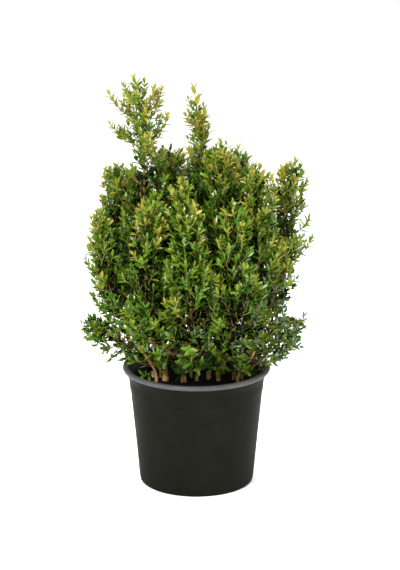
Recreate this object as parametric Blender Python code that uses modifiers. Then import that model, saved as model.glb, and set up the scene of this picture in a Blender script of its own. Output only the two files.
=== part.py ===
"""Potted boxwood: a nursery pot, its compost, stems, boughs and upright masses of foliage.

Lengths are in metres and +Z is up. The origin is the centre of the pot's flat underside,
+X is the right of the front view and +Y is its back. Every stem, bough and mass follows one
smooth axis, and each mass grows by the same rule: a stem, square twigs round it at the golden
angle, and leaves in nearly opposite pairs on the twigs.
"""

import math
import random

import bmesh
import bpy
import numpy as np
from mathutils import Matrix, Vector
from mathutils.bvhtree import BVHTree

# Pot
POT_HEIGHT = 0.227
RIM_RADIUS = 0.140
RIM_ROLL_RADIUS = 0.0045
RIM_LIP = 0.0053
RIM_FLARE_DROP = 0.030
RIM_FLARE_STEPS = 4
RIM_FLARE_POWER = 1.7
RIM_UNDERCUT = 1.3
MOUTH_RADIUS = 0.1305
BASE_RADIUS = 0.1090
BASE_CORNER = 0.004
WALL = 0.003
COLLAR_DROP = 0.046
COLLAR_STEP = 0.0010
DRAIN_HOLES = 8
DRAIN_RADIUS = 0.007
DRAIN_CIRCLE = 0.082
DRAIN_SIDES = 12
POT_SIDES = 36

# Compost
COMPOST_TOP = 0.197
COMPOST_EDGE_DIP = 0.003
COMPOST_FLAT_RADIUS = 0.100

# Gap between neighbouring solids
GAP = 0.0003

# Limbs
FLARE_HEIGHT = 0.005
FLARE = 1.35
LIMB_STEPS = 4
FORK_SWELL = 1.25
BOUGH_SHARE = 0.62
LIMB_BEND = 0.35
LEAN_RISE = 0.16
BOUGH_REACH = 0.45
AXIS_START = 0.30
AXIS_UPPER = 0.66
MASS_STEM_RADIUS = 0.0022
MASS_TIP_RADIUS = 0.0015
AXIS_STEPS = 24
STEM_SEGMENTS = 6
TOP_SEGMENTS = 2
CUT_STRAIGHT = 0.004

# Outline of a mass: where its waist and its shoulder lie, and how it closes to a point
WAIST_AT = 0.5
SHOULDER_AT = 0.82
CLOSING = 0.19
CLOSING_POWER = 0.8
OUTLINE_SLACK = 0.012

# Foliage
LEAF_LENGTH = 0.046
LEAF_WIDTH = 0.024
LEAF_THICKNESS = 0.0016
LEAF_SINK = 0.0002
END_LEAF_SINK = 0.0012
LEAF_TRIES = ((48, 1.0), (32, 1.0), (32, 0.82), (62, 0.82))
PAIR_STEP = 0.0026
PAIR_PLACES = (0.84, 0.42)
LEADER_PAIRS = 4
LEADER_START = 0.06
LEADER_STEP = 0.42
END_TRIES = ((0.45, 1.0), (0.1, 1.0), (0.45, 0.82))
CLEAR_OF_STEM = 0.008
TWIG_RADIUS = 0.0011
TWIG_TIP_RADIUS = 0.0011
TWIG_TRIES = ((0.0, 1.0), (0.35, 0.85), (-0.35, 0.70), (0.7, 0.55), (-0.7, 0.45))
SHORTEST_TWIG = 0.014
SHORTEST_SHARE = 0.7
LOWEST_TWIG = 0.03
TWIG_SPAN = 0.85
LOWEST_RISE = 14.0
HIGHEST_RISE = 30.0
EXTRA_RISE = 30.0
REACH_AHEAD = 0.05
LEAST_FILL = 0.85
GOLDEN_ANGLE = math.radians(137.508)
CELL_MARGIN = 0.0016
NEIGHBOUR_REACH = 0.16
LOWEST_LEAF = 0.232
SEED = 41

# Pruned stubs: how much wider their foot is, and the slant of the cut
STUB_FOOT = 1.15
STUB_SLANT = 0.35
STUB_SIDES = 8

# Stems that rise from the compost: foot (x, y), top (x, y, z), radius at foot and at top
STEMS = {
    "left_low": ((-0.068, 0.020), (-0.100, 0.014, 0.244), 0.0023, 0.0018),
    "left_side": ((-0.076, -0.008), (-0.108, -0.022, 0.272), 0.0027, 0.0019),
    "left": ((-0.059, 0.000), (-0.062, 0.003, 0.240), 0.0046, 0.0040),
    "centre": ((-0.025, -0.010), (-0.027, -0.012, 0.242), 0.0043, 0.0037),
    "slim_fork": ((0.000, -0.004), (0.001, -0.010, 0.226), 0.0026, 0.0024),
    "right": ((0.041, -0.002), (0.050, -0.012, 0.238), 0.0032, 0.0028),
    "right_outer": ((0.071, 0.006), (0.098, 0.018, 0.268), 0.0028, 0.0020),
    "right_side": ((0.078, -0.018), (0.108, -0.030, 0.262), 0.0025, 0.0019),
    "right_low": ((0.086, -0.001), (0.122, -0.004, 0.240), 0.0022, 0.0017),
    "back_right": ((0.044, 0.050), (0.050, 0.058, 0.240), 0.0034, 0.0030),
    "back": ((-0.012, 0.054), (-0.014, 0.062, 0.240), 0.0034, 0.0030),
    "back_left": ((-0.060, 0.058), (-0.074, 0.078, 0.264), 0.0029, 0.0020),
}

# Masses: stem that carries it, axis at mid height (x, y), tip (x, y, z), widths of its outline
# low, middle and high as radii, height where its foliage starts, and number of side twigs.
# A stem that carries two masses forks into a bough for each.
MASSES = {
    "left_spire": ("left", (-0.098, -0.004), (-0.119, 0.000, 0.788), (0.052, 0.054, 0.062), 0.286, 13),
    "centre_spire": ("centre", (0.018, 0.008), (-0.006, 0.010, 0.771), (0.054, 0.054, 0.025), 0.290, 13),
    "inner_left": ("back", (-0.054, 0.060), (-0.048, 0.040, 0.652), (0.052, 0.066, 0.042), 0.290, 9),
    "centre_right": ("slim_fork", (0.048, -0.040), (0.043, -0.020, 0.672), (0.054, 0.058, 0.036), 0.286, 11),
    "right_shoulder": ("back_right", (0.080, 0.054), (0.078, 0.050, 0.646), (0.052, 0.058, 0.038), 0.290, 9),
    "right_front": ("right", (0.112, -0.070), (0.115, -0.055, 0.636), (0.052, 0.056, 0.034), 0.282, 11),
    "right_cluster": ("right_outer", (0.150, 0.036), (0.185, 0.012, 0.628), (0.048, 0.058, 0.038), 0.268, 11),
    "right_edge": ("right_side", (0.142, -0.052), (0.204, -0.030, 0.500), (0.042, 0.044, 0.024), 0.262, 9),
    "front_right": ("right", (0.070, -0.134), (0.066, -0.108, 0.579), (0.054, 0.058, 0.034), 0.272, 11),
    "front_centre": ("slim_fork", (-0.012, -0.144), (-0.034, -0.084, 0.617), (0.054, 0.058, 0.032), 0.270, 11),
    "front_left": ("centre", (-0.086, -0.120), (-0.074, -0.098, 0.590), (0.054, 0.060, 0.034), 0.272, 11),
    "left_edge": ("left_side", (-0.163, -0.048), (-0.168, -0.026, 0.545), (0.058, 0.052, 0.024), 0.272, 10),
    "left_shoulder": ("left", (-0.150, 0.040), (-0.147, 0.014, 0.620), (0.048, 0.058, 0.038), 0.280, 11),
    "back_left": ("back_left", (-0.102, 0.126), (-0.118, 0.108, 0.590), (0.048, 0.064, 0.036), 0.264, 10),
    "back_centre": ("back", (-0.010, 0.152), (0.000, 0.132, 0.600), (0.050, 0.068, 0.036), 0.276, 10),
    "back_right": ("back_right", (0.088, 0.132), (0.108, 0.112, 0.570), (0.050, 0.064, 0.036), 0.276, 9),
    "low_left": ("left_low", (-0.157, 0.002), (-0.170, -0.006, 0.312), (0.040, 0.047, 0.040), 0.244, 12),
    "low_right": ("right_low", (0.156, -0.006), (0.180, -0.002, 0.324), (0.036, 0.046, 0.042), 0.240, 12),
}

# Pruned stubs: foot (x, y), height, radius
STUBS = {
    "stub_right": ((0.023, 0.008), 0.014, 0.0040),
    "stub_left": ((-0.082, 0.022), 0.008, 0.0036),
}

UP = Vector((0.0, 0.0, 1.0))
SIDE_HINT = Vector((0.31, 0.17, 0.93))
SPARE_HINT = Vector((1.0, 0.0, 0.0))
MERGE_DISTANCE = 0.00001


def clear_scene():
    """Remove every object that the file opens with."""
    for thing in list(bpy.data.objects):
        bpy.data.objects.remove(thing)


def new_collection(name):
    """A collection linked to the scene."""
    collection = bpy.data.collections.new(name)
    bpy.context.scene.collection.children.link(collection)
    return collection


def new_material(name, colour, roughness):
    """A Principled material of one colour."""
    material = bpy.data.materials.new(name)
    material.use_nodes = True
    shader = material.node_tree.nodes["Principled BSDF"]
    shader.inputs["Base Color"].default_value = (*colour, 1.0)
    shader.inputs["Roughness"].default_value = roughness
    shader.inputs["Metallic"].default_value = 0.0
    material.diffuse_color = (*colour, 1.0)
    return material


def mesh_piece(name, bm, collection, material):
    """Turn a bmesh into an object with one material."""
    mesh = bpy.data.meshes.new(name)
    bm.to_mesh(mesh)
    bm.free()
    piece = bpy.data.objects.new(name, mesh)
    mesh.materials.append(material)
    collection.objects.link(piece)
    return piece


def add_modifier(piece, name, kind, **settings):
    """A modifier with its settings."""
    modifier = piece.modifiers.new(name, kind)
    for key, value in settings.items():
        setattr(modifier, key, value)
    return modifier


def apply_modifiers(piece):
    """Replace a piece's mesh by the mesh that its modifiers give."""
    graph = bpy.context.evaluated_depsgraph_get()
    mesh = bpy.data.meshes.new_from_object(piece.evaluated_get(graph))
    old = piece.data
    piece.modifiers.clear()
    piece.data = mesh
    bpy.data.meshes.remove(old)


def arc(centre_r, centre_z, radius, start, end, steps):
    """Points on an arc in the (r, z) plane, with angles in degrees."""
    points = []
    for step in range(steps + 1):
        angle = math.radians(start + (end - start) * step / steps)
        points.append((centre_r + radius * math.cos(angle), centre_z + radius * math.sin(angle)))
    return points


def turned_piece(name, profile, sides, collection, material):
    """A solid of revolution: a profile of (r, z) points, top to bottom on its outer side."""
    bm = bmesh.new()
    corners = [bm.verts.new((r, 0.0, z)) for r, z in profile]
    for first, second in zip(corners, corners[1:]):
        bm.edges.new((first, second))
    piece = mesh_piece(name, bm, collection, material)
    add_modifier(piece, "turn", "SCREW", axis="Z", steps=sides, render_steps=sides,
                 use_merge_vertices=True, merge_threshold=MERGE_DISTANCE)
    apply_modifiers(piece)
    return piece


def wall_radius(height):
    """The pot's outer radius at a height, under its rim."""
    return BASE_RADIUS + (MOUTH_RADIUS - BASE_RADIUS) * height / POT_HEIGHT


def rim_flare(foot_z, foot_r, top_z, top_r):
    """Points down the curve in which the wall opens out under the rim."""
    points = []
    for step in range(RIM_FLARE_STEPS, -1, -1):
        share = step / RIM_FLARE_STEPS
        opening = share ** RIM_FLARE_POWER
        points.append((foot_r + (top_r - foot_r) * opening, foot_z + (top_z - foot_z) * share))
    return points


def pot_profile():
    """The pot's section: rolled rim, flare, collar, tapered wall and floor, back up the inside."""
    roll_r = RIM_RADIUS - RIM_ROLL_RADIUS
    roll_z = POT_HEIGHT - RIM_ROLL_RADIUS
    flare_z = POT_HEIGHT - RIM_FLARE_DROP
    collar_z = POT_HEIGHT - COLLAR_DROP
    flare = rim_flare(flare_z, wall_radius(flare_z), roll_z - RIM_UNDERCUT * RIM_ROLL_RADIUS, roll_r)
    points = [(roll_r - RIM_LIP, POT_HEIGHT - RIM_ROLL_RADIUS / 2.0)]
    points += arc(roll_r, roll_z, RIM_ROLL_RADIUS, 90, -80, 4)
    points += flare
    points.append((wall_radius(collar_z), collar_z))
    points.append((wall_radius(collar_z) - COLLAR_STEP, collar_z - COLLAR_STEP))
    points.append((wall_radius(BASE_CORNER) - COLLAR_STEP, BASE_CORNER))
    points += [(BASE_RADIUS - BASE_CORNER, 0.0), (0.0, 0.0)]
    points += [(0.0, WALL), (BASE_RADIUS - WALL - BASE_CORNER, WALL)]
    points.append((wall_radius(WALL + BASE_CORNER) - COLLAR_STEP - WALL, WALL + BASE_CORNER))
    points.append((wall_radius(flare_z) - COLLAR_STEP - WALL, flare_z))
    points += [(r - WALL - COLLAR_STEP, z + COLLAR_STEP) for r, z in reversed(flare[1:-1])]
    points.append(points[0])
    return points


def make_pot(collection, cutters, material):
    """The pot, with drain holes through its floor that leave the middle whole."""
    pot = turned_piece("pot", pot_profile(), POT_SIDES, collection, material)
    bm = bmesh.new()
    for number in range(DRAIN_HOLES):
        turn = Matrix.Rotation(2.0 * math.pi * (number + 0.5) / DRAIN_HOLES, 4, "Z")
        place = turn @ Matrix.Translation((DRAIN_CIRCLE, 0.0, 0.0))
        bmesh.ops.create_cone(bm, cap_ends=True, segments=DRAIN_SIDES, radius1=DRAIN_RADIUS,
                              radius2=DRAIN_RADIUS, depth=4.0 * WALL, matrix=place)
    holes = mesh_piece("drain_cutters", bm, cutters, material)
    holes.hide_render = True
    holes.display_type = "WIRE"
    add_modifier(pot, "drain holes", "BOOLEAN", operation="DIFFERENCE", object=holes)


def make_compost(collection, material):
    """The compost: it fills the pot to below the rim, with a flat top that dips at the wall."""
    inner = WALL + COLLAR_STEP + 2.0 * GAP
    top_edge = COMPOST_TOP - COMPOST_EDGE_DIP
    low = WALL + GAP
    corner = low + BASE_CORNER
    profile = [(0.0, COMPOST_TOP), (COMPOST_FLAT_RADIUS, COMPOST_TOP),
               (wall_radius(top_edge) - inner, top_edge), (wall_radius(corner) - inner, corner),
               (BASE_RADIUS - WALL - BASE_CORNER - COLLAR_STEP, low), (0.0, low)]
    turned_piece("compost", profile, POT_SIDES, collection, material)


def bezier(controls, steps):
    """Even steps along a cubic curve with four control points."""
    a, b, c, d = controls
    points = []
    for step in range(steps + 1):
        t = step / steps
        s = 1.0 - t
        points.append(a * s ** 3 + b * (3.0 * s * s * t) + c * (3.0 * s * t * t) + d * t ** 3)
    return points


def limb_path(start, end, lean, foot_straight, top_straight):
    """A limb's points: a smooth curve, with short upright stretches where it is cut flat."""
    low = start + UP * foot_straight
    high = end - UP * top_straight
    rise = (high.z - low.z) * LIMB_BEND
    arrival = UP if top_straight else lean
    points = bezier((low, low + UP * rise, high - arrival * rise, high), LIMB_STEPS)
    if foot_straight:
        points.insert(0, start)
    if top_straight:
        points.append(end)
    return points


def limb_radii(count, foot, top, flare, swell):
    """Radii that taper evenly from foot to top, with a flare below or a swelling above."""
    radii = [foot + (top - foot) * step / (count - 1) for step in range(count)]
    radii[0] *= flare
    radii[-1] *= swell
    return radii


def mass_axis(start, direction, waist, tip, steps):
    """A mass's axis: on from its limb, through its waist at mid height and up to its tip."""
    rise = tip.z - start.z
    third = start + direction * rise * AXIS_START
    upper = Vector([(8.0 * w - s - t - 3.0 * b) / 3.0 for w, s, t, b in zip(waist, start, tip, third)])
    return bezier((start, third, Vector((upper.x, upper.y, start.z + rise * AXIS_UPPER)), tip), steps)


def tube(name, points, radii, resolution, collection, material):
    """A round tapering limb: a curve with a bevel and flat caps, made into a closed mesh."""
    curve = bpy.data.curves.new(name, "CURVE")
    curve.dimensions = "3D"
    curve.bevel_depth = 1.0
    curve.bevel_resolution = resolution
    curve.use_fill_caps = True
    spline = curve.splines.new("POLY")
    spline.points.add(len(points) - 1)
    for knot, point, radius in zip(spline.points, points, radii):
        knot.co = (*point, 1.0)
        knot.radius = radius
    guide = bpy.data.objects.new(name + "_guide", curve)
    collection.objects.link(guide)
    graph = bpy.context.evaluated_depsgraph_get()
    mesh = bpy.data.meshes.new_from_object(guide.evaluated_get(graph))
    bpy.data.objects.remove(guide)
    bpy.data.curves.remove(curve)
    bm = bmesh.new()
    bm.from_mesh(mesh)
    bpy.data.meshes.remove(mesh)
    bmesh.ops.remove_doubles(bm, verts=bm.verts, dist=MERGE_DISTANCE)
    bmesh.ops.recalc_face_normals(bm, faces=bm.faces)
    if bm.calc_volume(signed=True) < 0.0:
        bmesh.ops.reverse_faces(bm, faces=bm.faces)
    return mesh_piece(name, bm, collection, material)


def lean_towards(point, waist):
    """The direction from a limb's end up to the waist of the mass that it feeds."""
    return Vector((waist[0] - point.x, waist[1] - point.y, LEAN_RISE)).normalized()


def make_stem(name, masses, collection, material):
    """One stem, from its flat cut on the compost to its fork or to the mass that it carries."""
    foot, top, foot_radius, top_radius = STEMS[name]
    start = Vector((*foot, COMPOST_TOP + GAP))
    end = Vector(top)
    forked = len(masses) > 1
    points = limb_path(start, end, lean_towards(end, MASSES[masses[0]][1]), FLARE_HEIGHT,
                       FLARE_HEIGHT if forked else 0.0)
    radii = limb_radii(len(points), foot_radius, top_radius, FLARE, FORK_SWELL if forked else 1.0)
    tube("stem_" + name, points, radii, 1, collection, material)
    return points, max(radii[1:])


def make_bough(mass, fork, side, radius, collection, material):
    """One bough, from the flat top of a fork to the height where its mass starts."""
    waist, height = MASSES[mass][1], MASSES[mass][4]
    start = fork + side * (radius + GAP) + UP * GAP
    entry = Vector((fork.x + (waist[0] - fork.x) * BOUGH_REACH,
                    fork.y + (waist[1] - fork.y) * BOUGH_REACH, height))
    points = limb_path(start, entry, lean_towards(entry, waist), FLARE_HEIGHT, 0.0)
    end_radius = min(radius, MASS_STEM_RADIUS)
    tube("bough_" + mass, points, limb_radii(len(points), radius, end_radius, 1.0, 1.0),
         1, collection, material)
    return points, radius


def make_limbs(collection, material):
    """Stems and boughs: returns the limb that feeds each mass, and every limb with its radius."""
    feeding = {}
    limbs = []
    for name, row in STEMS.items():
        masses = [mass for mass in MASSES if MASSES[mass][0] == name]
        stem, thick = make_stem(name, masses, collection, material)
        limbs.append((stem, thick + CELL_MARGIN))
        if len(masses) == 1:
            feeding[masses[0]] = stem
            continue
        first, second = (Vector((*MASSES[mass][1], 0.0)) for mass in masses)
        across = (first - second).normalized()
        for mass, side in zip(masses, (across, -across)):
            bough, radius = make_bough(mass, stem[-1], side, row[3] * BOUGH_SHARE, collection, material)
            limbs.append((bough, radius + CELL_MARGIN))
            feeding[mass] = bough
    return feeding, limbs


def envelope(radii, s):
    """A mass's radius at s from 0 at its foot to 1 at its tip: three widths, closed to a point."""
    low, middle, high = radii
    if s < WAIST_AT:
        return low + (middle - low) * (0.5 - 0.5 * math.cos(math.pi * s / WAIST_AT))
    if s < SHOULDER_AT:
        share = (s - WAIST_AT) / (SHOULDER_AT - WAIST_AT)
        return middle + (high - middle) * (0.5 - 0.5 * math.cos(math.pi * share))
    return high * max(0.0, 1.0 - ((s - SHOULDER_AT) / CLOSING) ** 2) ** CLOSING_POWER


def distances(points, path):
    """Shortest distance from each point to a line of points, as an array."""
    points = np.array(points)[:, None, :]
    path = np.array(path)
    first, along = path[:-1], path[1:] - path[:-1]
    t = ((points - first) * along).sum(axis=2) / (along * along).sum(axis=1)
    nearest = first + along * np.clip(t, 0.0, 1.0)[:, :, None]
    return np.sqrt(((points - nearest) ** 2).sum(axis=2)).min(axis=1)


class Space:
    """The part of the crown that belongs to one mass."""

    def __init__(self, radii, own, others, limbs):
        self.radii = radii
        self.own = own
        self.others = [path for path in others if distances(path, own).min() < NEIGHBOUR_REACH]
        self.limbs = limbs

    def in_outline(self, points):
        """Whether every point is within the mass's radius at the nearest place on its axis."""
        gaps = np.linalg.norm(np.array(points)[:, None, :] - np.array(self.own), axis=2)
        shares = gaps.argmin(axis=1) / AXIS_STEPS
        limits = [envelope(self.radii, share) + OUTLINE_SLACK for share in shares]
        return (gaps.min(axis=1) < limits).all()

    def holds(self, points):
        """Whether every point is nearer this mass's axis than any other, and clear of the limbs."""
        if min(point.z for point in points) < LOWEST_LEAF or not self.in_outline(points):
            return False
        limit = distances(points, self.own) + CELL_MARGIN
        if any((distances(points, path) < limit).any() for path in self.others):
            return False
        return not any((distances(points, path) < radius).any() for path, radius in self.limbs)


def side_of(direction, angle):
    """A unit vector square to a direction, at an angle round it."""
    base = direction.cross(SIDE_HINT)
    if base.length < 0.2:
        base = direction.cross(SPARE_HINT)
    return Matrix.Rotation(angle, 3, direction) @ base.normalized()


def leaf_place(root, direction, upper, size, sink):
    """Where a unit bipyramid of three sides lies as a leaf: poles at root and tip, ridge on top."""
    across = upper.cross(direction).normalized()
    face = direction.cross(across)
    turn = Matrix((across, face, direction)).transposed().to_4x4()
    half_width = LEAF_WIDTH / math.sqrt(3.0)
    scale = Matrix.Diagonal((half_width * size, LEAF_THICKNESS / 1.5, LEAF_LENGTH / 2.0 * size, 1.0))
    middle = root + direction * (LEAF_LENGTH / 2.0 * size - sink)
    return Matrix.Translation(middle) @ turn @ scale @ Matrix.Rotation(math.pi / 2.0, 4, "Z")


def leaf_points(place):
    """The points of a placed leaf that are tested: tip, middle, ridge and both edges."""
    points = [Vector((0.0, 0.0, 1.0)), Vector((0.0, 0.0, 0.0))]
    points += [Vector((math.cos(a), math.sin(a), 0.0)) for a in (0.0, math.radians(120), math.radians(240))]
    return [place @ point for point in points]


class Growth:
    """Collects the twigs and leaves of one mass, and keeps them apart and in its space."""

    def __init__(self, space, stem, collection, material):
        self.space = space
        self.collection = collection
        self.material = material
        self.taken = []
        bm = bmesh.new()
        bm.from_mesh(stem.data)
        self.stem_tree = BVHTree.FromBMesh(bm)
        bm.free()

    def is_free(self, tree, on_stem):
        """Whether a shape crosses nothing that the mass already has."""
        if not on_stem and tree.overlap(self.stem_tree):
            return False
        return not any(tree.overlap(other) for other in self.taken)

    def add_leaf(self, root, direction, upper, size, sink, on_stem=False):
        """One leaf, unless it would leave the space or cross another leaf or twig."""
        place = leaf_place(root, direction, upper, size, sink)
        if not self.space.holds(leaf_points(place)):
            return False
        bm = bmesh.new()
        bmesh.ops.create_uvsphere(bm, u_segments=3, v_segments=2, radius=1.0, matrix=place)
        tree = BVHTree.FromBMesh(bm)
        if not self.is_free(tree, on_stem):
            bm.free()
            return False
        mesh_piece("leaf", bm, self.collection, self.material)
        self.taken.append(tree)
        return True

    def add_side_leaf(self, root, along, side, upper, on_stem=False):
        """A leaf leaning forward from a twig, more upright or smaller where it has to be."""
        for degrees, size in LEAF_TRIES:
            angle = math.radians(degrees)
            direction = (along * math.cos(angle) + side * math.sin(angle)).normalized()
            if self.add_leaf(root, direction, upper, size, LEAF_SINK, on_stem):
                return

    def add_pair(self, point, along, turn, upper, on_stem=False):
        """Two leaves on opposite sides of a twig, the second a little further up it."""
        side = side_of(along, turn)
        self.add_side_leaf(point, along, side, upper, on_stem)
        self.add_side_leaf(point + along * PAIR_STEP, along, -side, upper, on_stem)

    def add_end_leaf(self, end, along, upper):
        """The leaf at a twig's end, upright where it can be."""
        for lift, size in END_TRIES:
            direction = (along + UP * lift).normalized()
            if self.add_leaf(end, direction, upper, size, END_LEAF_SINK):
                return

    def add_twig(self, base, tip, turn, upper):
        """One straight square twig with its foot on the stem's axis, and a leaf pair on each face."""
        along = tip - base
        side = side_of(along.normalized(), turn)
        frame = Matrix((side, along.normalized().cross(side), along.normalized())).transposed().to_4x4()
        place = Matrix.Translation((base + tip) / 2.0) @ frame @ Matrix.Rotation(math.pi / 4.0, 4, "Z")
        bm = bmesh.new()
        bmesh.ops.create_cone(bm, cap_ends=True, segments=4, radius1=TWIG_RADIUS, radius2=TWIG_TIP_RADIUS,
                              depth=along.length, matrix=place)
        tree = BVHTree.FromBMesh(bm)
        if not self.is_free(tree, True):
            bm.free()
            return
        before = len(self.taken)
        direction = along.normalized()
        self.add_end_leaf(tip, direction, upper)
        for count, share in enumerate(PAIR_PLACES):
            if along.length * share > CLEAR_OF_STEM:
                self.add_pair(base.lerp(tip, share), direction, turn + count * math.pi / 2.0, upper)
        if len(self.taken) == before:
            bm.free()
            return
        mesh_piece("twig", bm, self.collection, self.material)
        self.taken.append(tree)


def twig_end(base, along, turn, rise, reach, space):
    """Where a side twig can end inside its space, or None: it is turned and shortened to fit."""
    for swing, share in TWIG_TRIES:
        out = side_of(along, turn + swing)
        direction = (out * math.cos(rise) + along * math.sin(rise)).normalized()
        length = max(SHORTEST_TWIG, (reach - LEAF_LENGTH * 0.5) / math.cos(rise)) * share
        if length < SHORTEST_TWIG * SHORTEST_SHARE:
            continue
        end = base + direction * length
        if space.holds([base.lerp(end, 0.5), end]):
            return end
    return None


def grow_mass(name, axis, direction, space, collection, sprigs, material):
    """One mass: its stem, side twigs at the golden angle up it, and leaves in pairs."""
    rng = random.Random(SEED + sum(map(ord, name)))
    radii, twigs = MASSES[name][3], MASSES[name][5]
    top = (axis[-1] - axis[-1 - TOP_SEGMENTS]).normalized()
    leader = axis[-1] - top * (LEAF_LENGTH - END_LEAF_SINK)
    knots = axis[::AXIS_STEPS // STEM_SEGMENTS]
    stem_points = [point for point in knots if point.z < leader.z - CUT_STRAIGHT]
    stem_points.append(leader)
    last = len(stem_points) - 1
    skin_points = [axis[0], axis[0] + direction * CUT_STRAIGHT] + stem_points[1:]
    skin_radii = limb_radii(len(skin_points), MASS_STEM_RADIUS, MASS_TIP_RADIUS, 1.0, 1.0)
    stem = tube("foliage_" + name, skin_points, skin_radii, 0, collection, material)
    growth = Growth(space, stem, sprigs, material)
    phase = rng.uniform(0.0, 2.0 * math.pi)
    growth.add_leaf(leader, top, side_of(top, phase), 1.0, END_LEAF_SINK, True)
    top = (leader - stem_points[-2]).normalized()
    for pair in range(LEADER_PAIRS):
        below = leader - top * (LEAF_LENGTH * (LEADER_START + LEADER_STEP * pair))
        growth.add_pair(below, top, phase + pair * math.pi / 2.0, top, True)
    for number in range(twigs):
        s = LOWEST_TWIG + TWIG_SPAN * number / (twigs - 1)
        index = min(int(s * last), last - 1)
        first, second = stem_points[index], stem_points[index + 1]
        base = first.lerp(second, s * last - index)
        along = (second - first).normalized()
        turn = phase + number * GOLDEN_ANGLE
        rise = math.radians(rng.uniform(LOWEST_RISE, HIGHEST_RISE) + EXTRA_RISE * min(1.0, 2.0 * s))
        reach = envelope(radii, min(1.0, s + REACH_AHEAD)) * rng.uniform(LEAST_FILL, 1.0)
        end = twig_end(base, along, turn, rise, reach, space)
        if end is None:
            continue
        direction = (end - base).normalized()
        upper = (UP - direction * UP.dot(direction)).normalized()
        growth.add_twig(base, end, turn, upper)
    return stem


def join_sprigs(stem, sprigs):
    """Fuse the twigs and leaves of a collection to a mass's stem, and remove them."""
    add_modifier(stem, "fuse", "BOOLEAN", operation="UNION", operand_type="COLLECTION",
                 collection=sprigs, solver="MANIFOLD")
    apply_modifiers(stem)
    for sprig in list(sprigs.objects):
        mesh = sprig.data
        bpy.data.objects.remove(sprig)
        bpy.data.meshes.remove(mesh)


def keep_one_body(piece):
    """Drop loose scraps and sealed hollows: keep only the largest connected skin."""
    bm = bmesh.new()
    bm.from_mesh(piece.data)
    left = set(bm.verts)
    bodies = []
    while left:
        front = [left.pop()]
        body = set(front)
        while front:
            vertex = front.pop()
            reached = {edge.other_vert(vertex) for edge in vertex.link_edges} & left
            left -= reached
            body |= reached
            front.extend(reached)
        bodies.append(body)
    bodies.sort(key=len)
    loose = [vertex for body in bodies[:-1] for vertex in body]
    bmesh.ops.delete(bm, geom=loose, context="VERTS")
    bm.to_mesh(piece.data)
    bm.free()


def make_stubs(collection, material):
    """Short pruned stubs with a slanting cut, standing on the compost."""
    for name, (foot, height, radius) in STUBS.items():
        bm = bmesh.new()
        middle = Matrix.Translation((*foot, COMPOST_TOP + GAP + height / 2.0))
        bmesh.ops.create_cone(bm, cap_ends=True, segments=STUB_SIDES, radius1=radius * STUB_FOOT,
                              radius2=radius, depth=height, matrix=middle)
        for vertex in bm.verts:
            if vertex.co.z > COMPOST_TOP + height / 2.0:
                vertex.co.z += (vertex.co.x - foot[0]) * STUB_SLANT
        mesh_piece(name, bm, collection, material)


def make_foliage(feeding, limbs, collection, material):
    """Every mass, each grown in its own space and fused into one solid."""
    sprigs = new_collection("Sprigs")
    axes = {}
    for name, limb in feeding.items():
        direction = (limb[-1] - limb[-2]).normalized()
        waist, tip = MASSES[name][1:3]
        start = limb[-1] + direction * GAP
        axes[name] = mass_axis(start, direction, Vector((*waist, 0.0)), Vector(tip), AXIS_STEPS)
    for name in MASSES:
        limb = feeding[name]
        others = [axis for other, axis in axes.items() if other != name]
        space = Space(MASSES[name][3], axes[name], others, limbs)
        stem = grow_mass(name, axes[name], (limb[-1] - limb[-2]).normalized(), space,
                         collection, sprigs, material)
        join_sprigs(stem, sprigs)
        keep_one_body(stem)
        stem.data.materials.clear()
        stem.data.materials.append(material)


def main():
    """Build the whole plant in its pot."""
    clear_scene()
    plant = new_collection("Potted boxwood")
    cutters = new_collection("Cutters")
    plastic = new_material("pot plastic", (0.030, 0.030, 0.027), 0.45)
    earth = new_material("compost", (0.012, 0.010, 0.009), 0.95)
    bark = new_material("bark", (0.30, 0.20, 0.10), 0.80)
    green = new_material("leaf green", (0.10, 0.19, 0.03), 0.50)
    make_pot(plant, cutters, plastic)
    make_compost(plant, earth)
    feeding, limbs = make_limbs(plant, bark)
    make_stubs(plant, bark)
    make_foliage(feeding, limbs, plant, green)


main()
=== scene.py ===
"""Potted boxwood: the looks of the plant, its pot and its compost.

Laid out as a Blender add-on and run as a script. Lengths are in metres and +Z is up. Every
shape is worked out as whole arrays: a profile turned round an axis, rings carried along a
curve, or one leaf carried to many places. The limbs follow the same curves as the solids, and
the twigs and leaves grow on from them by the same rule: side twigs at the golden angle round
each mass's stem, and leaves in opposite pairs.
"""

import math

import bpy
import numpy as np
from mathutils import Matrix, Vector


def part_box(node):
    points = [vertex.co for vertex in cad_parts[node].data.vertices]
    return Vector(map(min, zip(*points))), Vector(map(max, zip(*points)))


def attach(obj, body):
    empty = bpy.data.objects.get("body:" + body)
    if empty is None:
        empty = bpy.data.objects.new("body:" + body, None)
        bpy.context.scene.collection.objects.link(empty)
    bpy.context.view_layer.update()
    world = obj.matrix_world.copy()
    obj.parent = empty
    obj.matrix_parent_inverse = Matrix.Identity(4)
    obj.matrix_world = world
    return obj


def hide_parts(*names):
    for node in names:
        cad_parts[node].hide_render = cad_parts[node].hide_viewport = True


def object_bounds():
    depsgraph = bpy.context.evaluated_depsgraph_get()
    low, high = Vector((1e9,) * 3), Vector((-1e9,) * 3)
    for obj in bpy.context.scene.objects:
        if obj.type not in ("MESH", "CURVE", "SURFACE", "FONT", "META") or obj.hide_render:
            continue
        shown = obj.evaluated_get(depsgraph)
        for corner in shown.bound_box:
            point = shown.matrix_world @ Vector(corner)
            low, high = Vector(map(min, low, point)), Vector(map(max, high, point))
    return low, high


bl_info = {
    "name": "Potted Boxwood",
    "version": (1, 0, 0),
    "blender": (4, 5, 0),
    "location": "View3D > Sidebar > Boxwood",
    "description": "Builds a boxwood shrub in its nursery pot",
    "category": "Add Mesh",
}

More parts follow.
